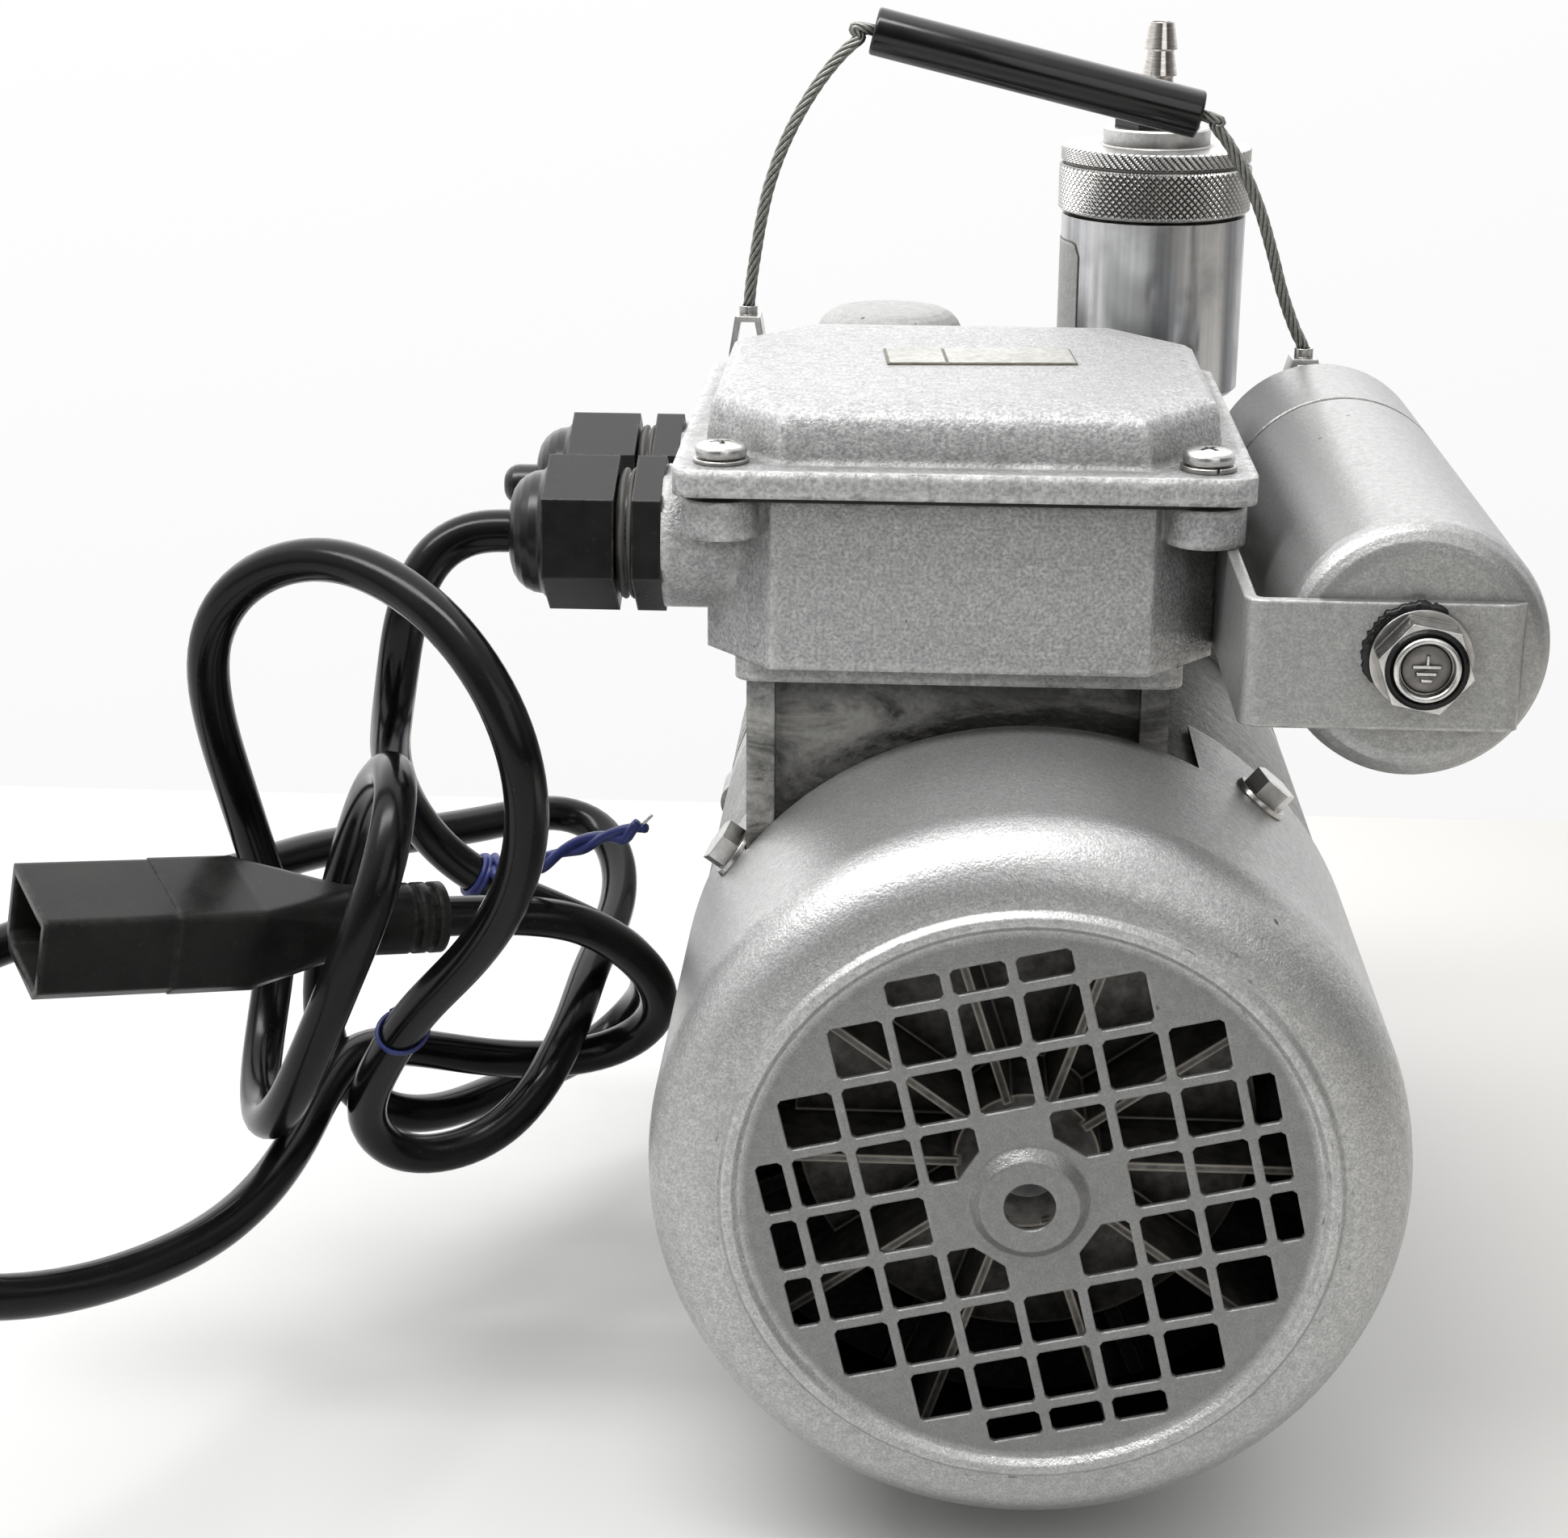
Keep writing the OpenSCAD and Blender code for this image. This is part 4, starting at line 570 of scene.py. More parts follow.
CORD_D = 8 * MM
ROUTE = [
    (-113, -79, 170), (-117, -82, 160), (-119, -81, 149), (-122, -73, 137), (-126, -58, 125),
    (-127, -45, 112), (-123, -37, 99), (-114, -36, 90), (-102, -34, 84), (-91, -33, 79),
    (-81, -26, 70), (-78, -10, 56), (-84, 6, 42), (-93, 2, 34), (-103, -14, 35),
    (-112, -30, 37), (-121, -46, 39), (-132, -58, 45),
    (-142, -57, 57), (-144, -50, 72), (-140, -49, 88), (-135, -54, 103), (-129, -65, 118),
    (-121, -82, 130), (-116, -100, 132), (-117, -112, 119), (-124, -115, 102), (-131, -113, 86),
    (-138, -109, 70), (-146, -97, 60), (-151, -78, 61), (-151, -64, 73),
    (-149, -60, 88), (-152, -64, 104), (-154, -71, 121), (-156, -78, 138), (-155, -84, 155),
    (-146, -88, 168), (-131, -93, 174), (-117, -100, 172), (-105, -108, 166), (-95, -115, 155),
    (-90, -118, 142), (-90, -115, 127), (-95, -109, 112), (-104, -103, 98), (-115, -97, 86),
    (-124, -91, 71), (-130, -83, 56), (-125, -74, 43), (-113, -67, 41), (-103, -61, 45),
    (-96, -54, 53), (-92, -41, 60), (-91, -24, 64), (-88, -6, 67), (-87, 12, 71),
    (-92, 28, 78), (-105, 30, 82), (-117, 16, 83), (-129, 3, 85), (-140, -11, 88),
    (-150, -26, 91), (-159, -41, 92),
    (-170, -56, 94), (-183, -71, 94), (-197, -87, 93), (-209, -106, 93), (-215, -128, 93),
    (-215, -150, 91), (-209, -169, 85), (-197, -180, 75), (-181, -178, 66), (-167, -160, 58),
    (-156, -144, 55), (-148, -127, 53), (-143, -109, 53), (-140, -91, 55), (-138, -76, 60),
    (-134, -61, 62),
    (-125, -48, 56), (-112, -40, 50), (-97, -34, 47), (-84, -29, 48), (-75, -31, 56),
    (-74, -38, 67), (-79, -45, 77), (-86.5, -54, 86.5), (-95, -61.8, 91.5), (-105.8, -68.8, 94.3),
]
CORD_END = Vector((-114.3, -73.8, 95.6)) * MM
EXIT = Vector((-97.2, -77, 174.6)) * MM
INSIDE_GLAND = (0.016, 0.008)    # points of the line inside the gland, before its exit
cord_points = [EXIT + Vector((deep, 0, 0)) for deep in INSIDE_GLAND]
cord_points += [EXIT, EXIT - Vector((CORD_D, 0, 0))]
cord_points += [Vector(q) * MM for q in ROUTE]
cord_points.append(CORD_END)
cord_path = spline(cord_points, steps=6)

curve = bpy.data.curves.new("mains_cord_line", "CURVE")
curve.dimensions = "3D"
curve.bevel_depth = CORD_D / 2
curve.bevel_resolution = 7
curve.use_fill_caps = True
line = curve.splines.new("POLY")
line.points.add(len(cord_path) - 1)
for point, co in zip(line.points, cord_path):
    point.co = (*co, 1)
curve.materials.append(pvc)
cord = bpy.data.objects.new("cord_line", curve)
scene.collection.objects.link(cord)
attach(cord, "housing")
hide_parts("mains_cord")
cord_length = sum((b - a).length for a, b in zip(cord_path, cord_path[1:]))

# The finish of each CAD node

FINISH = {
    cast: ["terminal_box", "terminal_lid", "drive_end_flange", "pump_side_plate", "pump_cylinder",
           "pump_cover"],
    shaded_cast: ["rear_end_shield"],
    matte: ["exhaust_silencer"],
    saddle: ["motor_frame"],
    sheet: ["fan_cowl"],
    tin: ["capacitor_can", "capacitor_cap", "capacitor_bracket"],
    zinc: ["cowl_screws", "lid_screws", "capacitor_bolt", "bracket_screws", "cover_screws", "handle_pins",
           "handle_link_left", "handle_link_right"],
    turned: ["filter_cup", "intake_fitting"],
    knurled: ["filter_ring"],
    barb: ["hose_barb"],
    alloy: ["cooling_fan"],
    iron: ["stator_core", "rotor_core", "pump_rotor"],
    steel: ["shaft", "rear_bearing", "front_bearing"],
    strand: ["handle_rope"],
    wire: ["stator_windings"],
    gland: ["front_gland_body", "front_gland_nut", "rear_gland_body", "rear_gland_nut", "gland_plug",
            "terminal_block"],
    plug_mat: ["plug_body"],
    grip_mat: ["handle_grip"],
    rubber: ["rubber_foot_1", "rubber_foot_2", "rubber_foot_3", "rubber_foot_4", "box_gasket",
             "front_gland_seal"],
    carbon: ["vane_1", "vane_2", "vane_3", "vane_4"],
    felt: ["filter_element"],
    pvc: ["mains_cord"],
    nickel: ["plug_pins"],
}
for material, names in FINISH.items():
    for name in names:
        for slot in nodes[name].material_slots:
            slot.material = material

# The wire rope and its grip

PIN_Y = 0.021            # the rope and its grip lie in this plane
ROPE_LINE = [            # X, and height above the shaft's axis, in mm
    (-59.5, 123.2), (-59, 129), (-58, 136), (-56.8, 143), (-55.2, 150), (-52.6, 157.5), (-49, 165),
    (-44.6, 172), (-40.2, 177.4), (-36.4, 180.8), (-34.47, 182.63), (0.75, 174.15), (35.97, 165.67),
    (38.2, 163.6), (41.6, 159.4), (45.4, 153), (48.6, 146), (51.4, 138), (54.2, 129), (57, 122),
    (59, 118.1), (59.5, 115.8),
]
STRANDS = 6
ROPE_TURN = 0.0155       # length of one turn of the strands
STRAND_AT = 0.83 * MM    # the strands' middles lie this far from the rope's
STRAND_R = 0.47 * MM
CORE_R = 0.5 * MM


def rope_parts(path):
    """The strands of the rope, wound round a core."""
    runs = [0.0]
    for a, b in zip(path, path[1:]):
        runs.append(runs[-1] + (b - a).length)
    parts = []
    for k in range(STRANDS):
        middle = []
        for q, (t, n, b), run in zip(path, carried_frames(path), runs):
            a = 2 * math.pi * (k / STRANDS + run / ROPE_TURN)
            middle.append(q + STRAND_AT * (math.cos(a) * n + math.sin(a) * b))
        parts.append(tube(middle, STRAND_R, sides=7))
    parts.append(tube(path, CORE_R, sides=6))
    return parts


rope_path = through([Vector((x * MM, PIN_Y, z * MM + AXIS_Z)) for x, z in ROPE_LINE], steps=12)
rope = new_mesh("rope_strands", *joined(rope_parts(rope_path)), strand, "handle", "steel")
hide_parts("handle_rope")

GRIP_LEFT = Vector((-33.5 * MM, PIN_Y, 182.4 * MM + AXIS_Z))
GRIP_RIGHT = Vector((35 * MM, PIN_Y, 165.9 * MM + AXIS_Z))
GRIP_R = 5               # the tube's outer radius, in mm like the next three
GRIP_BORE_R = 1.6
GRIP_ROUND = 0.7         # rounding of the outer rims
BORE_ROUND = 0.6         # rounding of the bore's rims
length = (GRIP_RIGHT - GRIP_LEFT).length / MM
rim_r = GRIP_R - GRIP_ROUND
profile = [(GRIP_BORE_R, BORE_ROUND)]
profile += round_corner(GRIP_BORE_R + BORE_ROUND, BORE_ROUND, BORE_ROUND, 180, 270, 3)[1:]
profile += round_corner(rim_r, GRIP_ROUND, GRIP_ROUND, 270, 360)
profile += round_corner(rim_r, length - GRIP_ROUND, GRIP_ROUND, 0, 90)
profile += [(GRIP_BORE_R + BORE_ROUND, length), (GRIP_BORE_R, length - BORE_ROUND)]
along = frame_at(GRIP_LEFT, GRIP_RIGHT - GRIP_LEFT)
grip = new_mesh("grip_tube", *lathe(profile, along, sides=48), grip_mat, "grip", "gloss_black")
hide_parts("handle_grip")

# The intake filter's knurled head

cup = corners("filter_cup")
CUP_X = 0.5 * (min(v.x for v in cup) + max(v.x for v in cup))
CUP_Y = 0.5 * (min(v.y for v in cup) + max(v.y for v in cup))
RING_Z0 = min(v.z for v in corners("filter_ring"))
CUP_R = 20.3             # this and the next seven sizes are in mm
RING_R = CUP_R + 0.9
RING_H = 10
DISC_H = 3.4
HUB_R = 11.8
HUB_H = 4
KNURL_PITCH = 1.6
KNURL_DEEP = 0.42
TURNS = 83               # diamonds round the ring
FINE = 4                 # points in one diamond
AROUND = TURNS * FINE


def triangle(t):
    """A wave of straight lines that is 0 at whole numbers and 1 halfway between them."""
    t = t % 1
    return 2 * min(t, 1 - t)


def knurled_rows(r, z0, z1, crossed):
    """Rows of radii at rising heights, cut by one set of slanting grooves or by two that cross."""
    steps = max(2, round((z1 - z0) / KNURL_PITCH * FINE))
    rows = []
    for i in range(steps + 1):
        h = z0 + (z1 - z0) * i / steps
        v = (h - z0) / KNURL_PITCH
        row = []
        for k in range(AROUND):
            u = k / FINE
            cut = triangle(u + v)
            if crossed:
                cut = min(cut, triangle(u - v))
            row.append(r - KNURL_DEEP * (1 - min(1, 1.7 * cut)))
        rows.append((row, h))
    return rows


def plain_rows(*pairs):
    """Rows that aren't cut, from pairs of a radius and a height."""
    return [([r] * AROUND, h) for r, h in pairs]


bore_r = CUP_R - 1.46
groove_top = RING_H + 0.6
disc_top = RING_H + DISC_H + 0.6
hub_top = RING_H + DISC_H + HUB_H + 0.6
rows = plain_rows((bore_r, 0), (RING_R - 0.5, 0))
rows += knurled_rows(RING_R, 0.4, RING_H - 0.4, crossed=True)
rows += plain_rows((RING_R - 0.5, RING_H), (RING_R - 1.2, RING_H),
                   (RING_R - 1.2, groove_top), (RING_R - 0.7, groove_top))
rows += knurled_rows(RING_R - 0.3, groove_top + 0.3, disc_top - 0.3, crossed=False)
rows += plain_rows((RING_R - 0.8, disc_top), (HUB_R + 0.3, disc_top), (HUB_R, disc_top + 0.3),
                   (HUB_R, hub_top - 0.4), (HUB_R - 0.4, hub_top), (4, hub_top),
                   (4, RING_H - 1), (bore_r, RING_H - 1))
verts = []
for row, h in rows:
    for k, r in enumerate(row):
        a = 2 * math.pi * k / AROUND
        verts.append((CUP_X + r * MM * math.cos(a), CUP_Y + r * MM * math.sin(a), RING_Z0 + h * MM))
head = new_mesh("knurled_head", verts, grid_faces(len(rows), AROUND), knurled, "filter_head",
                "bright_alu", smooth=False)
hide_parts("filter_ring")

PLATE_CORNER = 0.003
PLATE_R = CUP_R * MM - 0.00004       # the plates' backs lie just inside the cup's surface
PLATE_ACROSS = 20        # columns of faces
PLATE_UP = 12            # rows of faces


def curved_plate(name, a0, a1, below_ring, thick, material):
    """A thin plate bent round the cup between two angles and two distances below the ring."""
    z0, z1 = (RING_Z0 - distance for distance in below_ring)
    verts = []
    faces = []
    for side in (0, 1):
        r = PLATE_R + thick * side
        for i in range(PLATE_ACROSS + 1):
            u = i / PLATE_ACROSS
            a = math.radians(a0 + (a1 - a0) * u)
            # the ends of the columns follow the rounded corners
            edge = min(u, 1 - u) * math.radians(abs(a1 - a0)) * PLATE_R
            short = PLATE_CORNER - min(edge, PLATE_CORNER)
            pull = PLATE_CORNER - math.sqrt(max(0.0, PLATE_CORNER ** 2 - short ** 2))
            for j in range(PLATE_UP + 1):
                z = z0 + pull + (z1 - z0 - 2 * pull) * j / PLATE_UP
                verts.append((CUP_X + r * math.cos(a), CUP_Y + r * math.sin(a), z))

    def at(side, i, j):
        return (side * (PLATE_ACROSS + 1) + i) * (PLATE_UP + 1) + j

    for i in range(PLATE_ACROSS):
        for j in range(PLATE_UP):
            faces.append((at(0, i, j), at(0, i, j + 1), at(0, i + 1, j + 1), at(0, i + 1, j)))
            faces.append((at(1, i, j), at(1, i + 1, j), at(1, i + 1, j + 1), at(1, i, j + 1)))
    for i in range(PLATE_ACROSS):
        for j in (0, PLATE_UP):
            face = (at(0, i, j), at(0, i + 1, j), at(1, i + 1, j), at(1, i, j))
            faces.append(face if j == 0 else face[::-1])
    for j in range(PLATE_UP):
        for i in (0, PLATE_ACROSS):
            face = (at(0, i, j), at(1, i, j), at(1, i, j + 1), at(0, i, j + 1))
            faces.append(face if i == 0 else face[::-1])
    return new_mesh(name, verts, faces, material, "housing", "bright_alu", smooth=False)


curved_plate("filter_plate_edge", 128, 215, (0.0362, 0.0062), thick=0.00014, material=foil_edge)
curved_plate("filter_plate", 130, 214.2, (0.0359, 0.0065), thick=0.00024, material=matte)

# The plate on the lid

LID_PLATE = Vector((-0.0108, -0.0460, 0.2027))
PLATE_TURN = 4
LIP = 0.00005            # how far a slab's upper edge is drawn in


def slab(name, centre, size, material, body, slot, lip=LIP):
    """A thin plate that lies flat, turned like the lid's plate, with its upper edge drawn in by lip."""
    x, y, z = (0.5 * v for v in size)
    c = math.cos(math.radians(PLATE_TURN))
    s = math.sin(math.radians(PLATE_TURN))

    def corner(level, sx, sy):
        dz, inset = level
        px = sx * (x - inset)
        py = sy * (y - inset)
        return centre[0] + c * px - s * py, centre[1] + s * px + c * py, centre[2] + dz

    levels = ((-z, 0), (z - lip, 0), (z, lip))
    return new_mesh(name, *stepped_block(levels, corner), material, body, slot, smooth=False)


plate_x = Vector((math.cos(math.radians(PLATE_TURN)), math.sin(math.radians(PLATE_TURN)), 0))
raised = Vector((0, 0, 0.00035))     # the two foils lie on the dark plate
slab("lid_plate_edge", LID_PLATE + Vector((0, 0, 0.0001)), (0.0362, 0.0158, 0.0004), foil_edge, "housing",
     "steel", lip=0.0001)
slab("lid_plate_left", LID_PLATE - 0.0123 * plate_x + raised, (0.0106, 0.0146, 0.0002), foil, "housing",
     "steel")
slab("lid_plate_right", LID_PLATE + 0.0057 * plate_x + raised, (0.0242, 0.0146, 0.0002), foil, "housing",
     "steel")

# The head of the capacitor's bolt: its rim, disc and earth mark, and the sealant round it

BOLT = Vector((0.062, -0.1404, 0.170))       # centre of the bolt's front face
toward_front = frame_at(BOLT, (0, -1, 0), (1, 0, 0))
rim = [(4.5, -0.75)] + round_corner(5.05, 0.25, 0.55, 180, 0, 6) + [(5.6, -0.05)]
new_mesh("bolt_rim", *lathe(rim, toward_front, sides=40), zinc, "housing", "steel")
groove = [(5.6, -0.05), (5.6, 0.08), (6.9, 0.08), (6.9, -0.05)]
new_mesh("bolt_groove", *lathe(groove, toward_front, sides=40), sealant, "housing", "black_plastic")
disc = [(0.01, -0.85), (0.01, -0.55), (3.9, -0.55), (4.3, -0.85)]
new_mesh("bolt_disc", *lathe(disc, toward_front, sides=32), iron, "housing", "iron")


def bar(x, z, w, h):
    """A raised bar on the disc in the bolt's head, in mm from its middle."""
    def corner(level, sx, sz):
        out, inset = level
        return BOLT + MM * Vector((x + sx * (w / 2 - inset), -out, z + sz * (h / 2 - inset)))

    return stepped_block(((-0.6, 0.0), (-0.3, 0.0), (-0.12, 0.14)), corner)


earth = [bar(0.1, 1.5, 0.55, 1.7), bar(0, 0.35, 4.8, 0.62), bar(0, -0.85, 3.4, 0.62),
         bar(0.1, -2.0, 1.9, 0.6)]
new_mesh("bolt_earth_mark", *joined(earth), zinc, "housing", "steel", smooth=False)

SEALANT_FROM = 62        # degrees round the washer where the squeezed-out sealant starts
SEALANT_TURN = 150       # degrees that it covers
SEALANT_STEPS = 44


def sealant_ring():
    """Black sealant squeezed out under the washer, with an uneven outer edge."""
    draw = random.Random(5)
    verts = []
    for i in range(SEALANT_STEPS + 1):
        a = math.radians(SEALANT_FROM + SEALANT_TURN * i / SEALANT_STEPS)
        swell = math.sin(math.pi * i / SEALANT_STEPS) ** 0.4
        outer = 8.7 + (1.0 + 0.7 * draw.random()) * swell
        for r, h in ((8.2, -6.95), (8.2, -6.1), (outer - 0.4, -6.35), (outer, -6.95)):
            verts.append(toward_front @ Vector((r * MM * math.cos(a), r * MM * math.sin(a), h * MM)))
    faces = []
    for i in range(SEALANT_STEPS):
        for j in range(4):
            q = (j + 1) % 4
            faces.append((4 * i + j, 4 * i + q, 4 * i + 4 + q, 4 * i + 4 + j))
    faces += [(3, 2, 1, 0), tuple(4 * SEALANT_STEPS + j for j in range(4))]
    return verts, faces


new_mesh("bolt_sealant", *sealant_ring(), sealant, "housing", "black_plastic")

# The thread rings that show between the box and the glands

BOX_SIDE = -0.0738       # X where the glands' threads come out of the box
GLAND_Z = 0.1746
GLAND_YS = (-0.077, -0.039)
COIL = [(10.9, 0.02), (11.9, 0.15), (12.2, 0.5), (11.9, 0.9), (11.2, 1.15), (11.2, 1.4), (12.1, 1.7),
        (12.2, 2.1), (11.9, 2.6), (11.2, 2.85), (10.9, 2.95)]
for tag, y in zip(("front", "rear"), GLAND_YS):
    outward = frame_at((BOX_SIDE, y, GLAND_Z), (-1, 0, 0))
    new_mesh("gland_thread_" + tag, *lathe(COIL, outward, sides=56), thread, "housing", "black_plastic")

# The lid screws, with cross recesses and two kinds of washer

LID_TOP = 0.1925
LID_MIDDLE = (-0.0139, -0.0515)
SCREW_AT = 43.1          # from the lid's middle, in mm along X and along Y
SCREW_D = 5
CROSS_LONG = 4.6         # the cross recess, in mm
CROSS_WIDE = 1.05
CROSS_FROM = 1.3         # the recess's foot, above the washer
CROSS_TO = 3.2           # the cutter ends here, clear of the head's top
GAP_AT = 4.6             # the split washer's gap, from the screw's axis
GAP_TURN = -75           # and its direction, in degrees
MERGE = 3e-6             # points closer than this are merged after a cut
LID_SCREWS = ((-1, -1, 12), (1, -1, 38), (-1, 1, 70), (1, 1, 25))    # sides in X and Y, turn in degrees
SPLIT_RIM = [(5.0, 0.15), (5.0, 0.85), (4.85, 1.0)]
PLAIN_RIM = [(5.0, 0.15), (5.0, 0.65), (4.8, 0.8)]


def cut_from(ob, cutters):
    """Takes the cutters out of ob's mesh, cleans what is left and removes the cutters."""
    for cutter in cutters:
        mod = ob.modifiers.new("cut", "BOOLEAN")
        mod.operation = "DIFFERENCE"
        mod.solver = "EXACT"
        mod.object = cutter
    bpy.context.view_layer.update()
    me = bpy.data.meshes.new_from_object(ob.evaluated_get(bpy.context.evaluated_depsgraph_get()))
    ob.modifiers.clear()
    bm = bmesh.new()
    bm.from_mesh(me)
    bmesh.ops.remove_doubles(bm, verts=bm.verts, dist=MERGE)
    bmesh.ops.dissolve_degenerate(bm, edges=bm.edges, dist=MERGE)
    bm.to_mesh(me)
    bm.free()
    ob.data = me
    for cutter in cutters:
        bpy.data.objects.remove(cutter)


def cutter_box(m, sx, sy, z0, z1):
    """A cutter for cut_from: a box round m's Z, narrower at its foot, in mm."""
    def corner(level, x, y):
        z, wide = level
        return m @ Vector((x * sx * wide / 2 * MM, y * sy * wide / 2 * MM, z * MM))

    return plain_object("cutter", *stepped_block(((z0, 0.6), (z1, 1.0)), corner))


def lid_screw(sx, sy, turn):
    """Points and faces of one lid screw; those on the right have a split washer."""
    at = Vector((LID_MIDDLE[0] + sx * SCREW_AT * MM, LID_MIDDLE[1] + sy * SCREW_AT * MM, LID_TOP))
    m = Matrix.Translation(at) @ Matrix.Rotation(math.radians(turn), 4, "Z")
    split = sx > 0
    washer = 1.1 if split else 0.9
    outline = [(0.02, -8), (SCREW_D / 2, -8), (SCREW_D / 2, 0), (4.9, 0)]
    outline += SPLIT_RIM if split else PLAIN_RIM
    outline += [(4.0, washer), (4.2, washer + 0.05), (4.55, washer + 0.3), (4.65, washer + 1.2)]
    outline += round_corner(3.5, washer + 1.3, 1.1, 0, 62, 5)
    outline += [(2.6, washer + 2.62), (1.3, washer + 2.78), (0.02, washer + 2.8)]
    ob = plain_object("cut_head", *lathe(outline, m, sides=40))
    cutters = [cutter_box(m, CROSS_LONG, CROSS_WIDE, washer + CROSS_FROM, washer + CROSS_TO),
               cutter_box(m, CROSS_WIDE, CROSS_LONG, washer + CROSS_FROM, washer + CROSS_TO)]
    if split:
        toward_gap = Matrix.Rotation(math.radians(GAP_TURN - turn), 4, "Z")
        gap = m @ toward_gap @ Matrix.Translation((GAP_AT * MM, 0, 0))
        cutters.append(cutter_box(gap, 1.6, 0.7, 0.12, 1.06))
    cut_from(ob, cutters)
    mesh = [v.co.copy() for v in ob.data.vertices], [tuple(p.vertices) for p in ob.data.polygons]
    bpy.data.objects.remove(ob)
    return mesh


screw_heads = [lid_screw(*each) for each in LID_SCREWS]
screws = new_mesh("lid_screw_heads", *joined(screw_heads), zinc, "housing", "steel", smooth=False)
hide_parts("lid_screws")

# The two blue ties on the cord

UPPER_TIE_AT = 66        # index of the tie's point on the cord's line
LOWER_TIE_AT = 302
TIE_SIDES = 8
WIND = 24                # points in one turn of a tie
WIND_STEP = 0.0011       # how far a tie moves along the cord in one turn
TWIST_R = 0.0009         # the tail's two wires lie this far from its middle
TWIST_STEP = 0.35        # their turn from point to point, in radians
# x and y in pixels of the whole frame, and the depth in mm
TAIL_PIXELS = [(625, 1090, 596), (650, 1078, 592), (676, 1066, 588), (710, 1050, 584), (745, 1038, 580),
               (775, 1032, 577), (795, 1022, 575)]
WIRE_PIXELS = [(800, 1016, 574.6), (807, 1009, 574.2)]


def seen_at(px, py, depth):
    """The point that the camera sees at a pixel of the whole frame, at a depth in mm."""
    across = (px - IMAGE_MIDDLE[0]) / FOCAL_PX
    down = (py - IMAGE_MIDDLE[1]) / FOCAL_PX
    return CAMERA_AT + (forward + right * across - up * down) * depth * MM


def ring_round(index, lean, turns, radius):
    """A path wound round the cord at one of its points, tilted by lean along the cord."""
    q = cord_path[index]
    t = (cord_path[index + 1] - cord_path[index - 1]).normalized()
    n = (Vector((0, 0, 1)) - t * t.z).normalized()
    b = t.cross(n)
    out = []
    for k in range(int(WIND * turns) + 1):
        a = 2 * math.pi * k / WIND
        out.append(q + radius * (math.cos(a) * n + math.sin(a) * b)
                   + t * (lean * math.sin(a) + WIND_STEP * k / WIND))
    return out


def twisted(path, offset):
    """A wire wound round a path, at an offset from it."""
    out = []
    for i, q in enumerate(path):
        a = i * TWIST_STEP
        out.append(q + offset * Vector((math.sin(a), 0.4 * math.cos(a), math.cos(a))))
    return out


loop = ring_round(UPPER_TIE_AT, lean=0.001, turns=2.0, radius=0.00455)
tail = through([loop[-1]] + [seen_at(*q) for q in TAIL_PIXELS], steps=6)
upper_parts = [tube(loop, 0.0006, TIE_SIDES), tube(twisted(tail, -TWIST_R), 0.0011, TIE_SIDES),
               tube(twisted(tail, TWIST_R), 0.0010, TIE_SIDES)]
upper_tie = new_mesh("tie_upper", *joined(upper_parts), tie_blue, "housing", "black_plastic")
wire_end = through([tail[-1]] + [seen_at(*q) for q in WIRE_PIXELS], steps=5)
upper_wire = new_mesh("tie_upper_wire", *tube(wire_end, 0.00035, TIE_SIDES), zinc, "housing", "steel")
lower_loop = ring_round(LOWER_TIE_AT, lean=-0.0022, turns=1.1, radius=0.0044)
lower_tie = new_mesh("tie_lower", *tube(lower_loop, 0.0005, TIE_SIDES), tie_blue, "housing",
                     "black_plastic")

# Floor, sky and lights

FLOOR_SIDE = 2
FLOOR_END = 0.268        # the floor's far edge, which shows behind the pump


def floor_material():
    """A pale, faintly mottled floor, with a painted shade that makes it darker and warmer on the right."""
    mat = Material("pale_floor", Roughness=0.45)
    slow = mat.noise(5, 3, 0.5)
    fine = mat.noise(260, 3, 0.6)
    color = mat.mix(slow, (0.52, 0.52, 0.515), (0.57, 0.57, 0.565))
    # painted shade: darker and warmer towards the right
    color = mat.mix(mat.band(mat.position()["X"], 0.03, 0.24), color, (0.47, 0.45, 0.42))
    return mat.finish(color, None, fine, 0.05, FINE_DEPTH)


floor = plain_object("floor", [(-FLOOR_SIDE, -FLOOR_SIDE, 0), (FLOOR_SIDE, -FLOOR_SIDE, 0),
                               (FLOOR_SIDE, FLOOR_END, 0), (-FLOOR_SIDE, FLOOR_END, 0)], [(0, 1, 2, 3)])
floor.data.materials.append(floor_material())

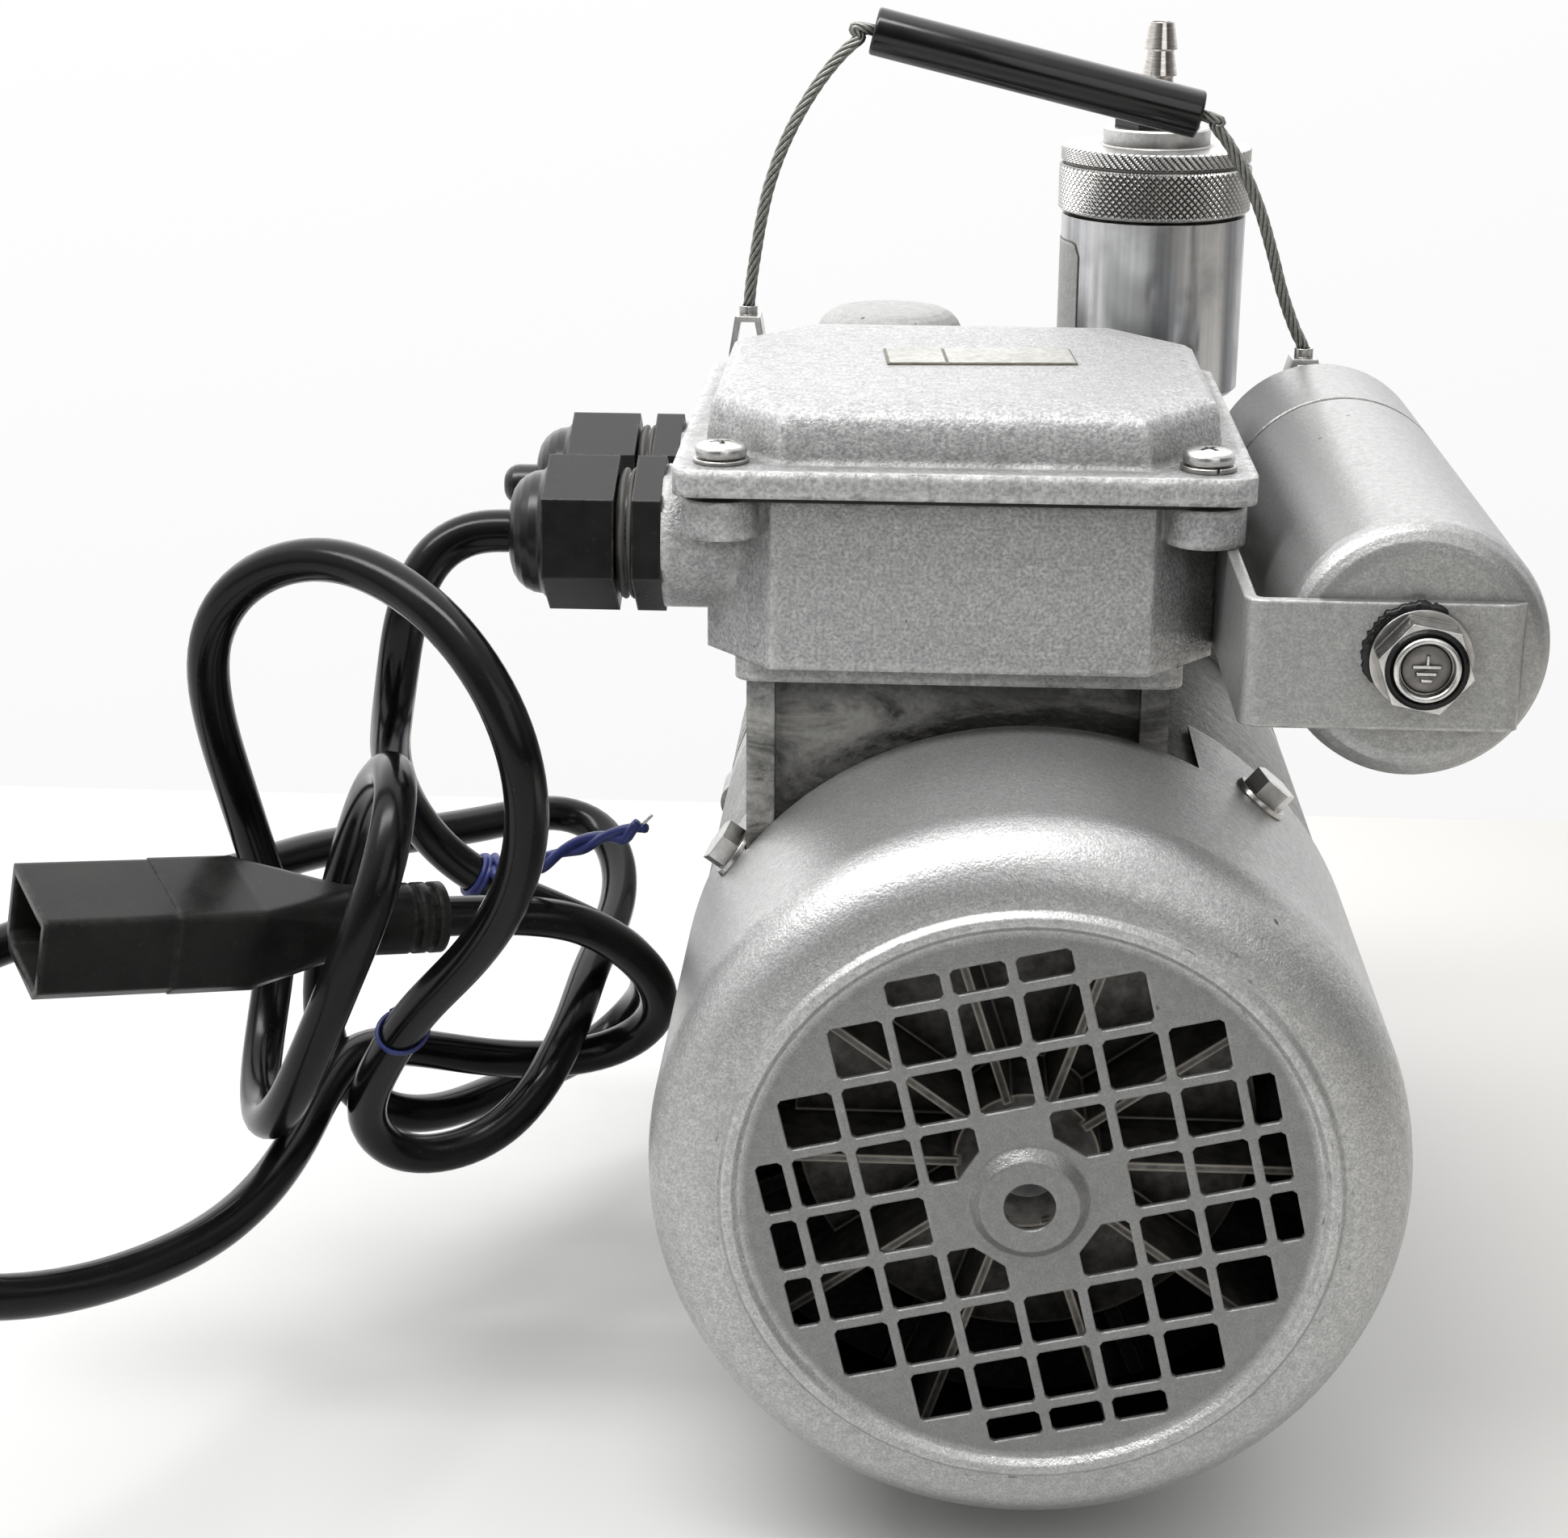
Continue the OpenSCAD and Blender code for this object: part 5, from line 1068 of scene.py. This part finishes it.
SKY_BRIGHT = (-0.24, 0.60, 0.763)    # the sky is brightest in this direction
SKY_DARKEST = 0.04
SKY_BRIGHTEST = 2.0
SKY_STOPS = ((0.30, 0.08), (0.48, 0.33), (0.62, 0.93), (0.80, 1.0), (0.88, 2.0))


def grey(value):
    """A grey as a colour with full alpha."""
    return value, value, value, 1


def make_sky():
    """A studio sky whose brightness follows the direction looked at."""
    world = bpy.data.worlds.new("studio")
    scene.world = world
    world.use_nodes = True
    tree = world.node_tree
    sky = tree.nodes["Background"]
    coords = tree.nodes.new("ShaderNodeTexCoord")
    dot = tree.nodes.new("ShaderNodeVectorMath")
    dot.operation = "DOT_PRODUCT"
    dot.inputs[1].default_value = SKY_BRIGHT
    half = tree.nodes.new("ShaderNodeMath")
    half.operation = "MULTIPLY_ADD"
    half.inputs[1].default_value = 0.5
    half.inputs[2].default_value = 0.5
    ramp = tree.nodes.new("ShaderNodeValToRGB")
    stops = ramp.color_ramp.elements
    stops[0].position = 0.0
    stops[0].color = grey(SKY_DARKEST)
    stops[1].position = 1.0
    stops[1].color = grey(SKY_BRIGHTEST)
    for at, value in SKY_STOPS:
        stops.new(at).color = grey(value)
    tree.links.new(coords.outputs["Generated"], dot.inputs[0])
    tree.links.new(dot.outputs["Value"], half.inputs[0])
    tree.links.new(half.outputs[0], ramp.inputs[0])
    tree.links.new(ramp.outputs[0], sky.inputs[0])
    sky.inputs[1].default_value = 1.0


make_sky()
LIGHTS_TOWARD = (-0.02, 0, 0.12)


def area_light(name, at, size, power):
    """A rectangular light that faces the pump."""
    data = bpy.data.lights.new(name, "AREA")
    data.shape = "RECTANGLE"
    data.size = size[0]
    data.size_y = size[1]
    data.energy = power
    ob = bpy.data.objects.new(name, data)
    scene.collection.objects.link(ob)
    ob.matrix_world = frame_at(at, Vector(at) - Vector(LIGHTS_TOWARD))


area_light("key", (-0.40, -0.36, 1.10), (1.0, 0.24), 11)
area_light("fill", (0.45, -1.1, 0.75), (0.8, 0.8), 2.5)

scene.view_settings.view_transform = "Standard"
